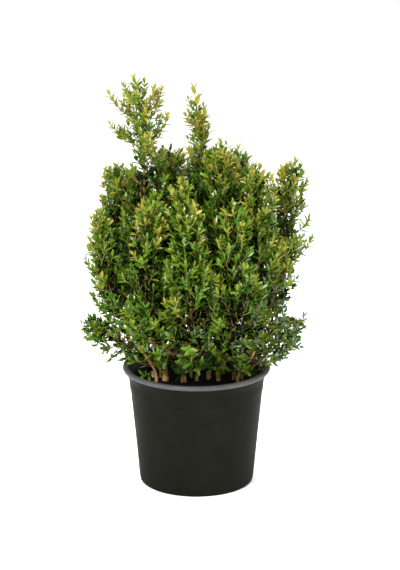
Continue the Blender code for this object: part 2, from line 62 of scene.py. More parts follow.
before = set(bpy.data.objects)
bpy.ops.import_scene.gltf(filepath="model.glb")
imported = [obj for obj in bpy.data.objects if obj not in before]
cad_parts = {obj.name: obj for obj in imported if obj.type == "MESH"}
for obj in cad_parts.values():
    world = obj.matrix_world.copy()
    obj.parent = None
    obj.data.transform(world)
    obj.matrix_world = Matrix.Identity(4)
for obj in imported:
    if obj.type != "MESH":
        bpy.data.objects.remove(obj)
CAD_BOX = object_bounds()
POT_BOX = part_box("pot")
COMPOST_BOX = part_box("compost")

UP = np.array((0.0, 0.0, 1.0))
SEED = 41
GOLDEN_ANGLE = math.radians(137.508)
FULL_TURN = 2.0 * math.pi

# Stems: foot (x, y), top (x, y, z), radius at foot and at top
STEMS = {
    "left_low": ((-0.068, 0.020), (-0.100, 0.014, 0.244), 0.0023, 0.0018),
    "left_side": ((-0.076, -0.008), (-0.108, -0.022, 0.272), 0.0027, 0.0019),
    "left": ((-0.059, 0.000), (-0.062, 0.003, 0.240), 0.0046, 0.0040),
    "centre": ((-0.025, -0.010), (-0.027, -0.012, 0.242), 0.0043, 0.0037),
    "slim_fork": ((0.000, -0.004), (0.001, -0.010, 0.226), 0.0026, 0.0024),
    "right": ((0.041, -0.002), (0.050, -0.012, 0.238), 0.0032, 0.0028),
    "right_outer": ((0.071, 0.006), (0.098, 0.018, 0.268), 0.0028, 0.0020),
    "right_side": ((0.078, -0.018), (0.108, -0.030, 0.262), 0.0025, 0.0019),
    "right_low": ((0.086, -0.001), (0.122, -0.004, 0.240), 0.0022, 0.0017),
    "back_right": ((0.044, 0.050), (0.050, 0.058, 0.240), 0.0034, 0.0030),
    "back": ((-0.012, 0.054), (-0.014, 0.062, 0.240), 0.0034, 0.0030),
    "back_left": ((-0.060, 0.058), (-0.074, 0.078, 0.264), 0.0029, 0.0020),
}

# Masses: stem that carries it, axis at mid height (x, y), tip (x, y, z), widths of its outline
# low, middle and high as radii, height where its foliage starts, and side twigs of the solid
MASSES = {
    "left_spire": ("left", (-0.098, -0.004), (-0.119, 0.0, 0.788),
                   (0.052, 0.054, 0.062), 0.286, 13),
    "centre_spire": ("centre", (0.018, 0.008), (-0.006, 0.01, 0.771),
                     (0.054, 0.054, 0.025), 0.29, 13),
    "inner_left": ("back", (-0.054, 0.06), (-0.048, 0.04, 0.652),
                   (0.052, 0.066, 0.042), 0.29, 9),
    "centre_right": ("slim_fork", (0.048, -0.04), (0.043, -0.02, 0.672),
                     (0.054, 0.058, 0.036), 0.286, 11),
    "right_shoulder": ("back_right", (0.08, 0.054), (0.078, 0.05, 0.646),
                       (0.052, 0.058, 0.038), 0.29, 9),
    "right_front": ("right", (0.112, -0.07), (0.115, -0.055, 0.636),
                    (0.052, 0.056, 0.034), 0.282, 11),
    "right_cluster": ("right_outer", (0.15, 0.036), (0.185, 0.012, 0.628),
                      (0.048, 0.058, 0.038), 0.268, 11),
    "right_edge": ("right_side", (0.142, -0.052), (0.204, -0.03, 0.5),
                   (0.042, 0.044, 0.024), 0.262, 9),
    "front_right": ("right", (0.07, -0.134), (0.066, -0.108, 0.579),
                    (0.054, 0.058, 0.034), 0.272, 11),
    "front_centre": ("slim_fork", (-0.012, -0.144), (-0.034, -0.084, 0.617),
                     (0.054, 0.058, 0.032), 0.27, 11),
    "front_left": ("centre", (-0.086, -0.12), (-0.074, -0.098, 0.59),
                   (0.054, 0.06, 0.034), 0.272, 11),
    "left_edge": ("left_side", (-0.163, -0.048), (-0.168, -0.026, 0.545),
                  (0.058, 0.052, 0.024), 0.272, 10),
    "left_shoulder": ("left", (-0.15, 0.04), (-0.147, 0.014, 0.62),
                      (0.048, 0.058, 0.038), 0.28, 11),
    "back_left": ("back_left", (-0.102, 0.126), (-0.118, 0.108, 0.59),
                  (0.048, 0.064, 0.036), 0.264, 10),
    "back_centre": ("back", (-0.01, 0.152), (0.0, 0.132, 0.6),
                    (0.05, 0.068, 0.036), 0.276, 10),
    "back_right": ("back_right", (0.088, 0.132), (0.108, 0.112, 0.57),
                   (0.05, 0.064, 0.036), 0.276, 9),
    "low_left": ("left_low", (-0.157, 0.002), (-0.17, -0.006, 0.312),
                 (0.04, 0.047, 0.04), 0.244, 12),
    "low_right": ("right_low", (0.156, -0.006), (0.18, -0.002, 0.324),
                  (0.036, 0.046, 0.042), 0.24, 12),
}

# Where a mass's shoots are thinned to the front, so that its bare stem shows: from z, to z, share,
# and how far to the front a shoot has to point
THINNED = {"left_spire": (0.470, 0.605, 0.95, -0.40)}

# Masses whose own stem is clothed in small shoots, and how far from foot to tip these start
CLOTHED = {
    "left_spire": 0.65, "centre_spire": 0.25, "inner_left": 0.12, "centre_right": 0.12,
    "back_left": 0.10, "back_centre": 0.12, "back_right": 0.10,
}

# Masses whose own stem is stouter than its bough
STOUT = {"left_spire": 1.4}

# Masses whose side twigs stand out flatter and carry fewer and shorter small shoots: slope, step
# and length factors, and the height from which they do
OPEN_HABIT = {
    "left_spire": (0.42, 1.35, 0.85, 0.50), "centre_spire": (0.85, 1.3, 0.80, 0.44),
    "low_left": (0.30, 2.2, 0.80, 0.20), "low_right": (0.30, 1.8, 0.80, 0.20),
    "right_edge": (0.70, 1.45, 0.90, 0.20), "right_cluster": (0.85, 1.35, 0.90, 0.46),
}

# How much larger than usual the widely spaced end leaves of a mass's own stem are, and the share
# of its length up to which shoots grow; the second row is for every other mass
LARGE_TIP = {"centre_spire": (1.35, 0.845)}
USUAL_TIP = (1.0, 1.0)

# Single shoots that stand out of the crown: mass, share of its stem where they start, tip
# (x, y, z), their leafless share and how bright their spray is
WISPS = (
    ("right_cluster", 0.56, (0.209, -0.014, 0.518), 0.55, -0.30),
    ("right_edge", 0.74, (0.212, -0.044, 0.486), 0.55, -0.30),
    ("left_edge", 0.52, (-0.206, -0.034, 0.440), 0.55, -0.30),
    ("low_left", 0.45, (-0.205, -0.010, 0.296), 0.55, -0.30),
    ("low_right", 0.50, (0.202, -0.012, 0.326), 0.55, -0.30),
    ("left_spire", 0.82, (-0.160, -0.008, 0.750), 0.20, 0.05),
    ("left_spire", 0.83, (-0.064, -0.004, 0.757), 0.20, 0.12),
    ("left_spire", 0.74, (-0.053, -0.010, 0.707), 0.20, 0.05),
    ("left_spire", 0.75, (-0.158, 0.004, 0.688), 0.20, -0.05),
)

# Pruned stubs: foot (x, y), height, radius
STUBS = {
    "stub_right": ((0.023, 0.008), 0.014, 0.0040),
    "stub_left": ((-0.082, 0.022), 0.008, 0.0036),
}

# The rule of the solids, which the twigs and leaves here repeat
GAP = 0.0003
FLARE_HEIGHT = 0.005
FLARE = 1.35
LIMB_STEPS = 4
BOUGH_SHARE = 0.62
LIMB_BEND = 0.35
LEAN_RISE = 0.16
BOUGH_REACH = 0.45
MASS_STEM_RADIUS = 0.0022
AXIS_START = 0.30
AXIS_UPPER = 0.66
WAIST_AT = 0.5
SHOULDER_AT = 0.82
CLOSING = 0.19
CLOSING_POWER = 0.8
HIGHEST_TWIG = 0.91
LOWEST_LEAF = 0.232
SIDE_HINT = (0.31, 0.17, 0.93)

# Samples on each axis and limb for the tests of space, and how much slack each test gives
AXIS_SAMPLES = 48
LIMB_SAMPLES = 20
SPACE_SLACK = 0.006
OVERLAP = 0.008
LIMB_CLEAR = 0.0016
BOX_SLACK = 0.006

# Bark: ridges round a limb and their weights, radians a metre by which they drift and wander and
# of the scales along it, knots, how soon the foot's flare fades, the swelling under a fork, and
# how far a limb is sunk into what carries it
RIDGES = ((3, 0.5), (5, 0.8), (7, 1.0), (9, 0.6))
RIDGE_DRIFT, RIDGE_WANDER = (60.0, 160.0), (120.0, 420.0)
SCALES = 900.0
KNOT_STEP, KNOT_LENGTH, KNOT_WIDTH, KNOT_HEIGHT = 0.014, 0.0022, 0.28, 0.30
FLARE_FADE = 0.005
FORK_SWELL, FORK_FADE = 0.30, 0.12
LIMB_SINK = 0.004

# Stubs: sink, rings, slant of the cut, and the cut's inner rings (share to the middle, dip)
STUB_SINK, STUB_RINGS, STUB_SLANT = 0.003, 16, 0.35
CUT_RINGS = ((0.25, 0.0001), (0.6, 0.0003), (0.93, 0.0005))

# Twigs and shoots (radii at foot and end): how far along its span a shoot's inner controls lie,
# part of the stem with side twigs, their least reach, the waves of their fullness, shares to
# which a twig or a shoot may be shortened, shoots on a twig, and a mass's own stem
SHOOT_INSET = 0.36
TWIG_SPAN, TWIG_RADII, LEAST_REACH = (0.02, 0.90), (0.0012, 0.0006), 0.004
FILL_WAVES, FILL_HEIGHT = (16, 0.035, 0.12), 0.27
TWIG_SHARES, SHOOT_SHARES = (1.0, 0.85, 0.7, 0.55, 0.4), (1.0, 0.75, 0.5)
SHOOTS_ON_TWIG, SHOOT_RADII, WISP_RADII = (2, 9), (0.0008, 0.0004), (0.0013, 0.0008)
LEADER_SINK, LEADER_END = 0.003, 0.0007

# Low sprigs: sizes, and how far they stay from a stub up to the height at which it can be seen
SPRIG_SIZES = (0.024, 0.050)
STUB_CLEAR, STUB_SIGHT = 0.032, 0.216

# Pot: corner of its base, rings on its underside, where the wall's rings start and how far they
# stop from the collar and the bend, edge of the collar (share of the step, drop), how the wall
# flares to the rim, the lip inside it (in from the roll, down, radius), and the uneven wall
BASE_CORNER = 0.004
BASE_RINGS = (0.030, 0.060)
WALL_FOOT, COLLAR_MARGIN, BEND_MARGIN = 0.012, 0.004, 0.002
COLLAR_EDGE = ((1.0, 0.0012), (0.3, 0.0006), (0.0, 0.0))
RIM_UNDERCUT = 1.3
RIM_FLARE_POWER = 1.7
FLARE_INSET = (-1.75, 0.4)
LIP_IN, LIP_DOWN, LIP_RADIUS = 0.0035, 0.0022, 0.0018
WALL_WAVES = (24, 0.05, 0.22)
WALL_SWELL = 0.0022

# Drain holes: how many, circle they lie on, radius, and depth of the cut
DRAIN_HOLES, DRAIN_CIRCLE, DRAIN_RADIUS, DRAIN_DEPTH = 8, 0.082, 0.007, 0.006

# Compost: height at which it meets the wall, dip to the wall and where it starts, sink of the
# whole, waves (number, shortest, longest) and their heights, and number and sizes of crumbs
EARTH_WALL_HEIGHT = 0.194
EARTH_DIP, DIP_START = 0.003, 0.100
EARTH_SINK = 0.0016
HEAP_WAVES, HEAP_HEIGHT = (30, 0.018, 0.050), 0.0014
CRUMB_WAVES, CRUMB_HEIGHT = (40, 0.005, 0.011), 0.0009
CRUMBS, CRUMB_SIZES = 900, (0.0011, 0.0030)

# Finishes: second colour by the first, roughness, specular level, then the mottle's scale, its
# stretch along Z and its two levels, and the depth and the scale of the relief
FINISHES = {
    "pot plastic": (1.35, 0.50, 0.02, 22.0, 0.7, 0.42, 0.75, 0.00010, 900.0),
    "pot rim": (0.55, 0.50, 0.30, 85.0, 1.0, 0.48, 0.78, 0.00010, 900.0),
    "pot inside": (0.45, 0.55, 0.25, 60.0, 0.6, 0.45, 0.70, 0.00012, 700.0),
    "compost": (2.6, 0.92, 0.10, 260.0, 1.0, 0.45, 0.80, 0.0010, 900.0),
    "compost crumbs": (0.35, 0.90, 0.12, 300.0, 1.0, 0.40, 0.65, 0.0006, 1200.0),
    "bark": (2.0, 0.78, 0.18, 420.0, 0.30, 0.36, 0.60, 0.0006, 1500.0),
    "cut wood": (0.6, 0.7, 0.2, 900.0, 1.0, 0.4, 0.7, 0.0003, 2000.0),
}
ROUGHER = 0.12
MIX_A, MIX_B, MIX_RESULT = 6, 7, 2

# Leaf tones from the youngest and lightest to the darkest, then the three rare ones; the deep tone is
# partly and the near-black shade tone wholly painted shade inside the crown; the scores that part the
# first six, and how glossy each is
TONES = ("tip", "young", "fresh", "middle", "deep", "shade", "blue", "gold", "rust")
TONE_STEPS = (1.02, 0.80, 0.56, 0.33, 0.14)
GLOSS = (0.22, 0.28, 0.42, 0.48, 0.24, 0.04, 0.80, 0.25, 0.25)
RARE_BLUE, RARE_GOLD, RARE_RUST = 6, 7, 8
GOLD_ODDS, RUST_ODDS = 0.0018, 0.0008
FOLIAGE_FOOT, FOLIAGE_RISE = 0.24, 0.55
UNDERSIDE_GREY, UNDERSIDE_GREYER, UNDERSIDE_LIGHTER = (140, 156, 84), 0.40, 1.12

# How much lighter and yellower, or darker, than its height gives each mass's leaves are: partly their
# own colour, partly painted light and shade
MASS_TINT_AND_PAINTED_LIGHT = {
    "left_spire": -0.06, "centre_spire": -0.04, "front_centre": 0.05, "front_left": 0.05,
    "left_shoulder": 0.06, "left_edge": 0.08, "low_right": 0.12, "right_edge": 0.08,
    "low_left": 0.08, "inner_left": -0.04, "right_front": 0.03, "right_cluster": 0.09,
}

# Floor, and the soft lights: name, place, size and power by the key light's
FLOOR_RADIUS, FLOOR_HEIGHT = 14.0, -0.0002
LIGHT_TARGET = (0.0, 0.0, 0.42)
LIGHTS = (
    ("key", (-1.3, -2.2, 2.6), 1.0, 1.0),
    ("top", (0.3, 0.4, 3.0), 1.8, 0.7),
    ("fill", (2.4, -1.4, 1.3), 1.8, 0.25),
)


def shade(red, green, blue):
    """A display colour of 0 to 255 as Blender's linear colour: the sRGB curve undone."""
    share = np.array((red, green, blue)) / 255.0
    linear = np.where(share <= 0.04045, share / 12.92, ((share + 0.055) / 1.055) ** 2.4)
    return tuple(float(value) for value in linear)


def colour_prop(name, description, colour):
    """A colour that a user can change, from display values of 0 to 255."""
    return bpy.props.FloatVectorProperty(name=name, description=description, default=shade(*colour),
                                         subtype="COLOR", size=3, min=0.0, max=1.0)


def number_prop(name, description, value, **limits):
    """A number that a user can change."""
    return bpy.props.FloatProperty(name=name, description=description, default=value, **limits)


def length_prop(name, description, value):
    """A length that a user can change."""
    return number_prop(name, description, value, min=0.0, unit="LENGTH", precision=4)


class PotSettings(bpy.types.PropertyGroup):
    """Sizes and colours of the pot and its compost."""

    height: length_prop("Height", "From the flat underside to the top of the rim", POT_BOX[1].z)
    rim_radius: length_prop("Rim radius", "Outer radius of the rolled rim", POT_BOX[1].x)
    rim_roll: length_prop("Rim roll", "Radius of the roll itself", 0.0045)
    mouth_radius: length_prop("Mouth radius", "Outer radius of the wall's taper at the top", 0.1305)
    base_radius: length_prop("Base radius", "Outer radius of the wall at the base", 0.1090)
    wall: length_prop("Wall", "Thickness of the wall", 0.003)
    collar_drop: length_prop("Collar drop", "From the rim's top down to the step in the wall", 0.046)
    flare_drop: length_prop("Flare drop", "From the rim's top down to where the wall bends out", 0.030)
    collar_step: length_prop("Collar step", "How far the wall steps in under the collar", 0.0010)
    compost_top: length_prop("Compost top", "Height of the compost", COMPOST_BOX[1].z)
    plastic: colour_prop("Plastic", "Dark moulded plastic of the pot", (19, 19, 15))
    # The rim's paler colour stands for dust and a painted highlight on the rolled rim.
    rim_dust_and_highlight: colour_prop("Rubbed plastic", "Paler plastic where the rim is rubbed and dusty",
                        (62, 62, 61))
    # The inner wall is painted paler and bluer than the outside plastic: painted light inside the
    # mouth.
    inner: colour_prop("Inner wall", "Plastic inside the mouth", (62, 68, 76))
    earth: colour_prop("Compost", "Damp dark compost", (10, 9, 8))
    crumb: colour_prop("Crumbs", "Drier crumbs and bark pieces on the compost", (32, 26, 20))


class LimbSettings(bpy.types.PropertyGroup):
    """Bark relief and colours of stems, boughs and twigs."""

    around: bpy.props.IntProperty(name="Around", description="Points round a limb", default=22, min=6)
    along: bpy.props.IntProperty(name="Along", description="Rings along a limb", default=44, min=8)
    relief: number_prop("Bark relief", "Depth of the ridges by radius", 0.085, min=0.0, max=0.5,
                        subtype="FACTOR")
    bark: colour_prop("Bark", "Ridges of the bark", (206, 170, 108))
    furrow: colour_prop("Furrows", "Deep parts of the bark", (98, 68, 38))
    cut_wood: colour_prop("Cut wood", "Fresh wood at a pruned stub", (206, 182, 138))
    old_twig: colour_prop("Old twig", "Brown twigs inside the crown", (108, 84, 46))
    new_twig: colour_prop("New twig", "Green shoots of this year", (142, 134, 60))


class FoliageSettings(bpy.types.PropertyGroup):
    """Sizes of leaves and sprays, and the leaf tones."""

    leaf_length: length_prop("Leaf length", "Length of a full-grown leaf", 0.0190)
    leaf_width: length_prop("Leaf width", "Width of a full-grown leaf", 0.0070)
    leaf_body: length_prop("Leaf body", "Thickness of a leaf at its midrib", 0.0006)
    pair_step: length_prop("Pair step", "Distance between leaf pairs along a shoot", 0.0070)
    twig_factor: number_prop("Twig factor", "Side twigs by those of the solid", 4.1, min=1.0, max=6.0)
    shoot_step: length_prop("Shoot step", "Distance between small shoots along a side twig", 0.0135)
    shoot_length: length_prop("Shoot length", "Length of the longest small shoots", 0.052)
    sprig_step: length_prop("Sprig step", "Distance between low sprigs along a limb", 0.0052)
    tip: colour_prop("Tip", "Newest leaves", (132, 127, 45))
    young: colour_prop("Young", "Yellow-green leaves", (108, 117, 32))
    fresh: colour_prop("Fresh", "Fresh green leaves", (89, 117, 26))
    middle: colour_prop("Middle", "Middle green leaves", (60, 96, 13))
    # Deep is partly older leaves' own green and partly painted shade; shade is near black, painted
    # shade for leaves deep in the crown.
    deep: colour_prop("Deep", "Deep green leaves", (24, 47, 3))
    shade: colour_prop("Shade", "Dark leaves inside the crown", (6, 12, 1))
    blue: colour_prop("Blue", "Blue-green old leaves low on the plant", (74, 101, 66))
    gold: colour_prop("Gold", "A few yellowed leaves", (156, 130, 40))
    rust: colour_prop("Rust", "A few orange-brown leaves", (122, 78, 32))


class StageSettings(bpy.types.PropertyGroup):
    """Camera, floor and light."""

    distance: length_prop("Distance", "From the camera to the point that it looks at", 4.0)
    elevation: number_prop("Elevation", "Camera angle above the horizon", math.radians(15.5),
                           subtype="ANGLE")
    aim_side: number_prop("Aim side", "How far right the camera looks", 0.0064, unit="LENGTH",
                          precision=4)
    aim_height: length_prop("Aim height", "Height that the camera looks at", 0.383)
    lens: number_prop("Lens", "Focal length on a 36 mm sensor", 134.7, min=10.0)
    floor: colour_prop("Floor", "Plain pale floor", (251, 251, 251))
    sky: number_prop("Sky", "Strength of the white surroundings", 1.02, min=0.0)
    key: number_prop("Key light", "Power of the soft light above", 150.0, min=0.0, unit="POWER")


class Skin:
    """Gathers faces from several shapes into one mesh: places, corners, face sizes and slots."""

    def __init__(self):
        self.places, self.corners, self.sizes, self.slots = [], [], [], []
        self.count = 0

    def add(self, places, faces, slots=None):
        """Adds places and arrays of faces that index them: one row of corners for each face."""
        for rows, slot in zip(faces, slots or [0] * len(faces)):
            self.corners.append(rows.ravel() + self.count)
            self.sizes.append(np.full(len(rows), rows.shape[1]))
            self.slots.append(np.broadcast_to(slot, (len(rows),)))
        flat = places.reshape(-1, 3)
        self.places.append(flat)
        self.count += len(flat)

    def piece(self, name, materials, sharp_degrees=50.0):
        """The gathered faces as one smooth object at the origin, sharp where faces turn more."""
        if not self.count:
            raise RuntimeError(name + " has no faces")
        sizes = np.concatenate(self.sizes)
        mesh = bpy.data.meshes.new(name)
        mesh.vertices.add(self.count)
        mesh.vertices.foreach_set("co", np.concatenate(self.places).ravel())
        mesh.loops.add(int(sizes.sum()))
        mesh.loops.foreach_set("vertex_index", np.concatenate(self.corners))
        mesh.polygons.add(len(sizes))
        mesh.polygons.foreach_set("loop_start", np.concatenate(([0], np.cumsum(sizes)[:-1])))
        mesh.polygons.foreach_set("material_index", np.concatenate(self.slots))
        mesh.polygons.foreach_set("use_smooth", np.ones(len(sizes), dtype=bool))
        mesh.update(calc_edges=True)
        mesh.validate()
        for material in materials:
            mesh.materials.append(material)
        mesh.set_sharp_from_angle(angle=math.radians(sharp_degrees))
        piece = bpy.data.objects.new(name, mesh)
        bpy.context.scene.collection.objects.link(piece)
        return piece


def settle(piece, slot, *nodes):
    """Rides the piece on the body and stands it in for its solids."""
    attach(piece, "root")
    if nodes:
        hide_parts(*nodes)


def unit(vectors):
    """Each vector divided by its length."""
    return vectors / np.linalg.norm(vectors, axis=-1, keepdims=True)


def dot(first, second):
    """Scalar products, kept as a last axis of one."""
    return (first * second).sum(axis=-1, keepdims=True)


def ramp(values, start, span):
    """0 up to the start, 1 from start + span on, and an even rise between."""
    return np.clip((values - start) / span, 0.0, 1.0)


def any_turn(rng, count=None):
    """Random angles, anywhere in a full turn."""
    return rng.uniform(0.0, FULL_TURN, count)


def draws_for(name):
    """A limb's or a mass's own random draws, from the letters of its name."""
    return np.random.default_rng(SEED + sum(map(ord, name)))


def on_curve(controls, t):
    """Points of cubic curves: the four controls weighted by s^3, 3s^2t, 3st^2 and t^3, s = 1 - t."""
    s = 1.0 - t
    weights = np.stack((s ** 3, 3.0 * s * s * t, 3.0 * s * t * t, t ** 3), axis=-1)
    return (weights[..., None] * controls).sum(axis=-2)


def heading(controls, t):
    """Unit directions of cubic curves: the three steps between controls weighted by s^2, 2st, t^2."""
    s = 1.0 - t
    steps = controls[..., 1:, :] - controls[..., :-1, :]
    weights = np.stack((s * s, 2.0 * s * t, t * t), axis=-1)
    return unit((weights[..., None] * steps).sum(axis=-2))


def square_to(direction):
    """A unit vector square to each direction: its cross product with the axis it is least along."""
    least = np.eye(3)[np.abs(direction).argmin(axis=-1)]
    return unit(np.cross(direction, least))


def turned(u, v, angle):
    """u cos a + v sin a."""
    return u * np.cos(angle) + v * np.sin(angle)


def side_of(direction, angle):
    """A unit vector square to each direction, at an angle round it, by the rule of the solids."""
    base = unit(np.cross(direction, SIDE_HINT))
    return turned(base, np.cross(direction, base), np.asarray(angle)[..., None])


def frame_along(chord, along):
    """Unit vectors square to each heading: u the least turned along the chord, and v = along x u."""
    first = square_to(unit(chord))
    u = unit(first - along * dot(first, along))
    return u, np.cross(along, u)


def waves(rng, count, low, high):
    """Random plane waves between two lengths: radians a metre along three axes, and phases."""
    directions = unit(rng.normal(size=(count, 3)))
    lengths = np.exp(rng.uniform(math.log(low), math.log(high), count))
    return directions / lengths[:, None] * FULL_TURN, any_turn(rng, count)


def wave_field(points, field):
    """A smooth random field between about -1 and 1: the mean of the waves' cosines, times two."""
    vectors, phases = field
    return np.cos(points @ vectors.T + phases).mean(axis=-1) * 2.0


def round_angles(sides):
    """Even angles round a full turn."""
    return np.arange(sides) * FULL_TURN / sides


def carried_rings(path, radii, sides):
    """Rings along paths: each is centre + r (u cos a + v sin a), u and v square to the path.

    path is (tubes, stations, 3) and radii (tubes, stations) or (tubes, stations, sides).
    """
    u, v = frame_along(path[:, -1:] - path[:, :1], unit(np.gradient(path, axis=1)))
    if radii.ndim == 2:
        radii = radii[:, :, None]
    ring = turned(u[:, :, None, :], v[:, :, None, :], round_angles(sides)[:, None])
    return path[:, :, None, :] + ring * radii[..., None]


def wall_quads(numbers):
    """Quads between neighbouring rings of numbered places, with faces outwards."""
    after = np.roll(numbers, -1, axis=-1)
    return np.stack((numbers[..., :-1, :], after[..., :-1, :], after[..., 1:, :], numbers[..., 1:, :]),
                    axis=-1).reshape(-1, 4)


def tube_faces(tubes, stations, sides):
    """The walls of some tubes, and a flat cap at each end."""
    numbers = np.arange(tubes * stations * sides).reshape(tubes, stations, sides)
    return [wall_quads(numbers), numbers[:, 0, ::-1], numbers[:, -1]]


def add_tubes(skin, path, radii, sides, old_share=1.0):
    """Tapering tubes: slot 0 up to a share of their length and slot 1 beyond it."""
    tubes, stations = path.shape[:2]
    young = np.arange(stations - 1) / (stations - 1) >= old_share
    walls = np.broadcast_to(young[None, :, None], (tubes, stations - 1, sides))
    skin.add(carried_rings(path, radii, sides), tube_faces(tubes, stations, sides),
             [walls.ravel().astype(int), 0, int(old_share < 1.0)])


def circles(radius, angles, height):
    """Places at r cos a, r sin a and a height."""
    places = np.broadcast_arrays(radius * np.cos(angles), radius * np.sin(angles), height)
    return np.stack(places, axis=-1)


def turned_skin(profile, sides, slots, bumps):
    """A profile of (r, z) points carried round +Z and then bumped. Its ends lie on the axis."""
    profile = np.array(profile)
    rings = bumps(circles(profile[1:-1, :1], round_angles(sides), profile[1:-1, 1:]))
    numbers = np.arange(rings.shape[0] * sides).reshape(-1, sides)
    first = np.full(sides, numbers.size)
    start = np.stack((first, np.roll(numbers[0], -1), numbers[0]), axis=-1)
    end = np.stack((numbers[-1], np.roll(numbers[-1], -1), first + 1), axis=-1)
    poles = np.array(((0.0, 0.0, profile[0, 1]), (0.0, 0.0, profile[-1, 1])))
    skin = Skin()
    skin.add(np.concatenate((rings.reshape(-1, 3), poles)), [wall_quads(numbers), start, end],
             [np.repeat(slots[1:-1], sides), slots[0], slots[-1]])
    return skin


def arc(centre_r, centre_z, radius, start, end, steps):
    """Points on an arc in the (r, z) plane: centre + radius (cos a, sin a), a in degrees."""
    angles = np.radians(np.linspace(start, end, steps + 1))
    return list(zip(centre_r + radius * np.cos(angles), centre_z + radius * np.sin(angles)))


def plain_material(name, colour, roughness, specular):
    """A Principled material, with its constants on the shader's own sockets."""
    material = bpy.data.materials.new(name)
    material.use_nodes = True
    shader = material.node_tree.nodes["Principled BSDF"]
    shader.inputs["Base Color"].default_value = (*colour, 1.0)
    shader.inputs["Roughness"].default_value = roughness
    shader.inputs["Specular IOR Level"].default_value = specular
    material.diffuse_color = (*colour, 1.0)
    return material


def wire(tree, *links):
    """Links sockets: each link is a node, its output, the next node and its input."""
    for source, output, target, entry in links:
        tree.links.new(source.outputs[output], target.inputs[entry])


def group_tree(name, inputs, outputs):
    """A shader node group with its sockets, and its inner input and output nodes."""
    tree = bpy.data.node_groups.new(name, "ShaderNodeTree")
    for label, value in inputs.items():
        kind = "NodeSocketFloat" if isinstance(value, float) else "NodeSocketColor"
        tree.interface.new_socket(label, in_out="INPUT", socket_type=kind).default_value = value
    for label, kind in outputs.items():
        tree.interface.new_socket(label, in_out="OUTPUT", socket_type=kind)
    return tree, tree.nodes.new("NodeGroupInput"), tree.nodes.new("NodeGroupOutput")


def stretched_noise(tree, given):
    """Noise on Object coordinates, stretched along Z by the group's own input."""
    place = tree.nodes.new("ShaderNodeTexCoord")
    stretch = tree.nodes.new("ShaderNodeCombineXYZ")
    stretch.inputs["X"].default_value = stretch.inputs["Y"].default_value = 1.0
    mapping = tree.nodes.new("ShaderNodeMapping")
    noise = tree.nodes.new("ShaderNodeTexNoise")
    noise.inputs["Detail"].default_value = 5.0
    noise.inputs["Roughness"].default_value = 0.6
    wire(tree, (given, "Upright", stretch, "Z"), (place, "Object", mapping, "Vector"),
         (stretch, "Vector", mapping, "Scale"), (mapping, "Vector", noise, "Vector"),
         (given, "Scale", noise, "Scale"))
    return noise


def mottle_group():
    """Two colours mixed by noise between two levels: mask = (noise - low) / (high - low)."""
    tree, given, made = group_tree(
        "Mottle", {"Scale": 100.0, "Upright": 1.0, "Low": 0.4, "High": 0.6,
                   "First": (0.1, 0.1, 0.1, 1.0), "Second": (0.2, 0.2, 0.2, 1.0)},
        {"Colour": "NodeSocketColor", "Mask": "NodeSocketFloat"})
    noise = stretched_noise(tree, given)
    spread = tree.nodes.new("ShaderNodeMapRange")
    mix = tree.nodes.new("ShaderNodeMix")
    mix.data_type = "RGBA"
    wire(tree, (noise, "Fac", spread, "Value"), (given, "Low", spread, "From Min"),
         (given, "High", spread, "From Max"), (spread, "Result", mix, "Factor"),
         (given, "First", mix, MIX_A), (given, "Second", mix, MIX_B),
         (mix, MIX_RESULT, made, "Colour"), (spread, "Result", made, "Mask"))
    return tree


def relief_group():
    """Fine relief: a bump whose height is noise on Object coordinates."""
    tree, given, made = group_tree("Relief", {"Scale": 400.0, "Upright": 1.0, "Depth": 0.0005},
                                   {"Normal": "NodeSocketVector"})
    noise = stretched_noise(tree, given)
    bump = tree.nodes.new("ShaderNodeBump")
    wire(tree, (noise, "Fac", bump, "Height"), (given, "Depth", bump, "Distance"),
         (bump, "Normal", made, "Normal"))
    return tree


def place_group(tree, name, build, **values):
    """A node group in a material, with its own values. Its first use builds it."""
    node = tree.nodes.new("ShaderNodeGroup")
    node.node_tree = bpy.data.node_groups.get(name) or build()
    for label, value in values.items():
        node.inputs[label].default_value = value
    return node


def finish(name, colour, second=None):
    """A finish of two mottled colours, a roughness that follows them and a fine relief."""
    factor, roughness, specular, scale, upright, low, high, depth, grain = FINISHES[name]
    second = np.array(colour) * factor if second is None else second
    material = plain_material(name, colour, roughness, specular)
    tree = material.node_tree
    shader = tree.nodes["Principled BSDF"]
    mottle = place_group(tree, "Mottle", mottle_group, Scale=scale, Upright=upright, Low=low, High=high,
                         First=(*colour, 1.0), Second=(*second, 1.0))
    relief = place_group(tree, "Relief", relief_group, Scale=grain, Upright=upright, Depth=depth)
    rough = tree.nodes.new("ShaderNodeMapRange")
    rough.inputs["To Min"].default_value = roughness
    rough.inputs["To Max"].default_value = min(1.0, roughness + ROUGHER)
    wire(tree, (mottle, "Mask", rough, "Value"), (mottle, "Colour", shader, "Base Color"),
         (rough, "Result", shader, "Roughness"), (relief, "Normal", shader, "Normal"))
    return material


def leaf_materials(settings):
    """For each tone, the glossy upper side and the paler, duller underside.

    The underside is the colour itself and some grey-green by how light the colour is.
    """
    grey = np.array(shade(*UNDERSIDE_GREY))
    materials = []
    for tone, gloss in zip(TONES, GLOSS):
        colour = np.array(getattr(settings, tone))
        under = colour * UNDERSIDE_LIGHTER + grey * UNDERSIDE_GREYER * colour.mean()
        materials.append(plain_material("leaf " + tone, colour, 0.23, gloss))
        materials.append(plain_material("leaf " + tone + " underside", under, 0.60, 0.10))
    return materials


def wall_at(pot, height):
    """Outer radius of the pot's tapered wall at a height."""
    return pot.base_radius + (pot.mouth_radius - pot.base_radius) * height / pot.height


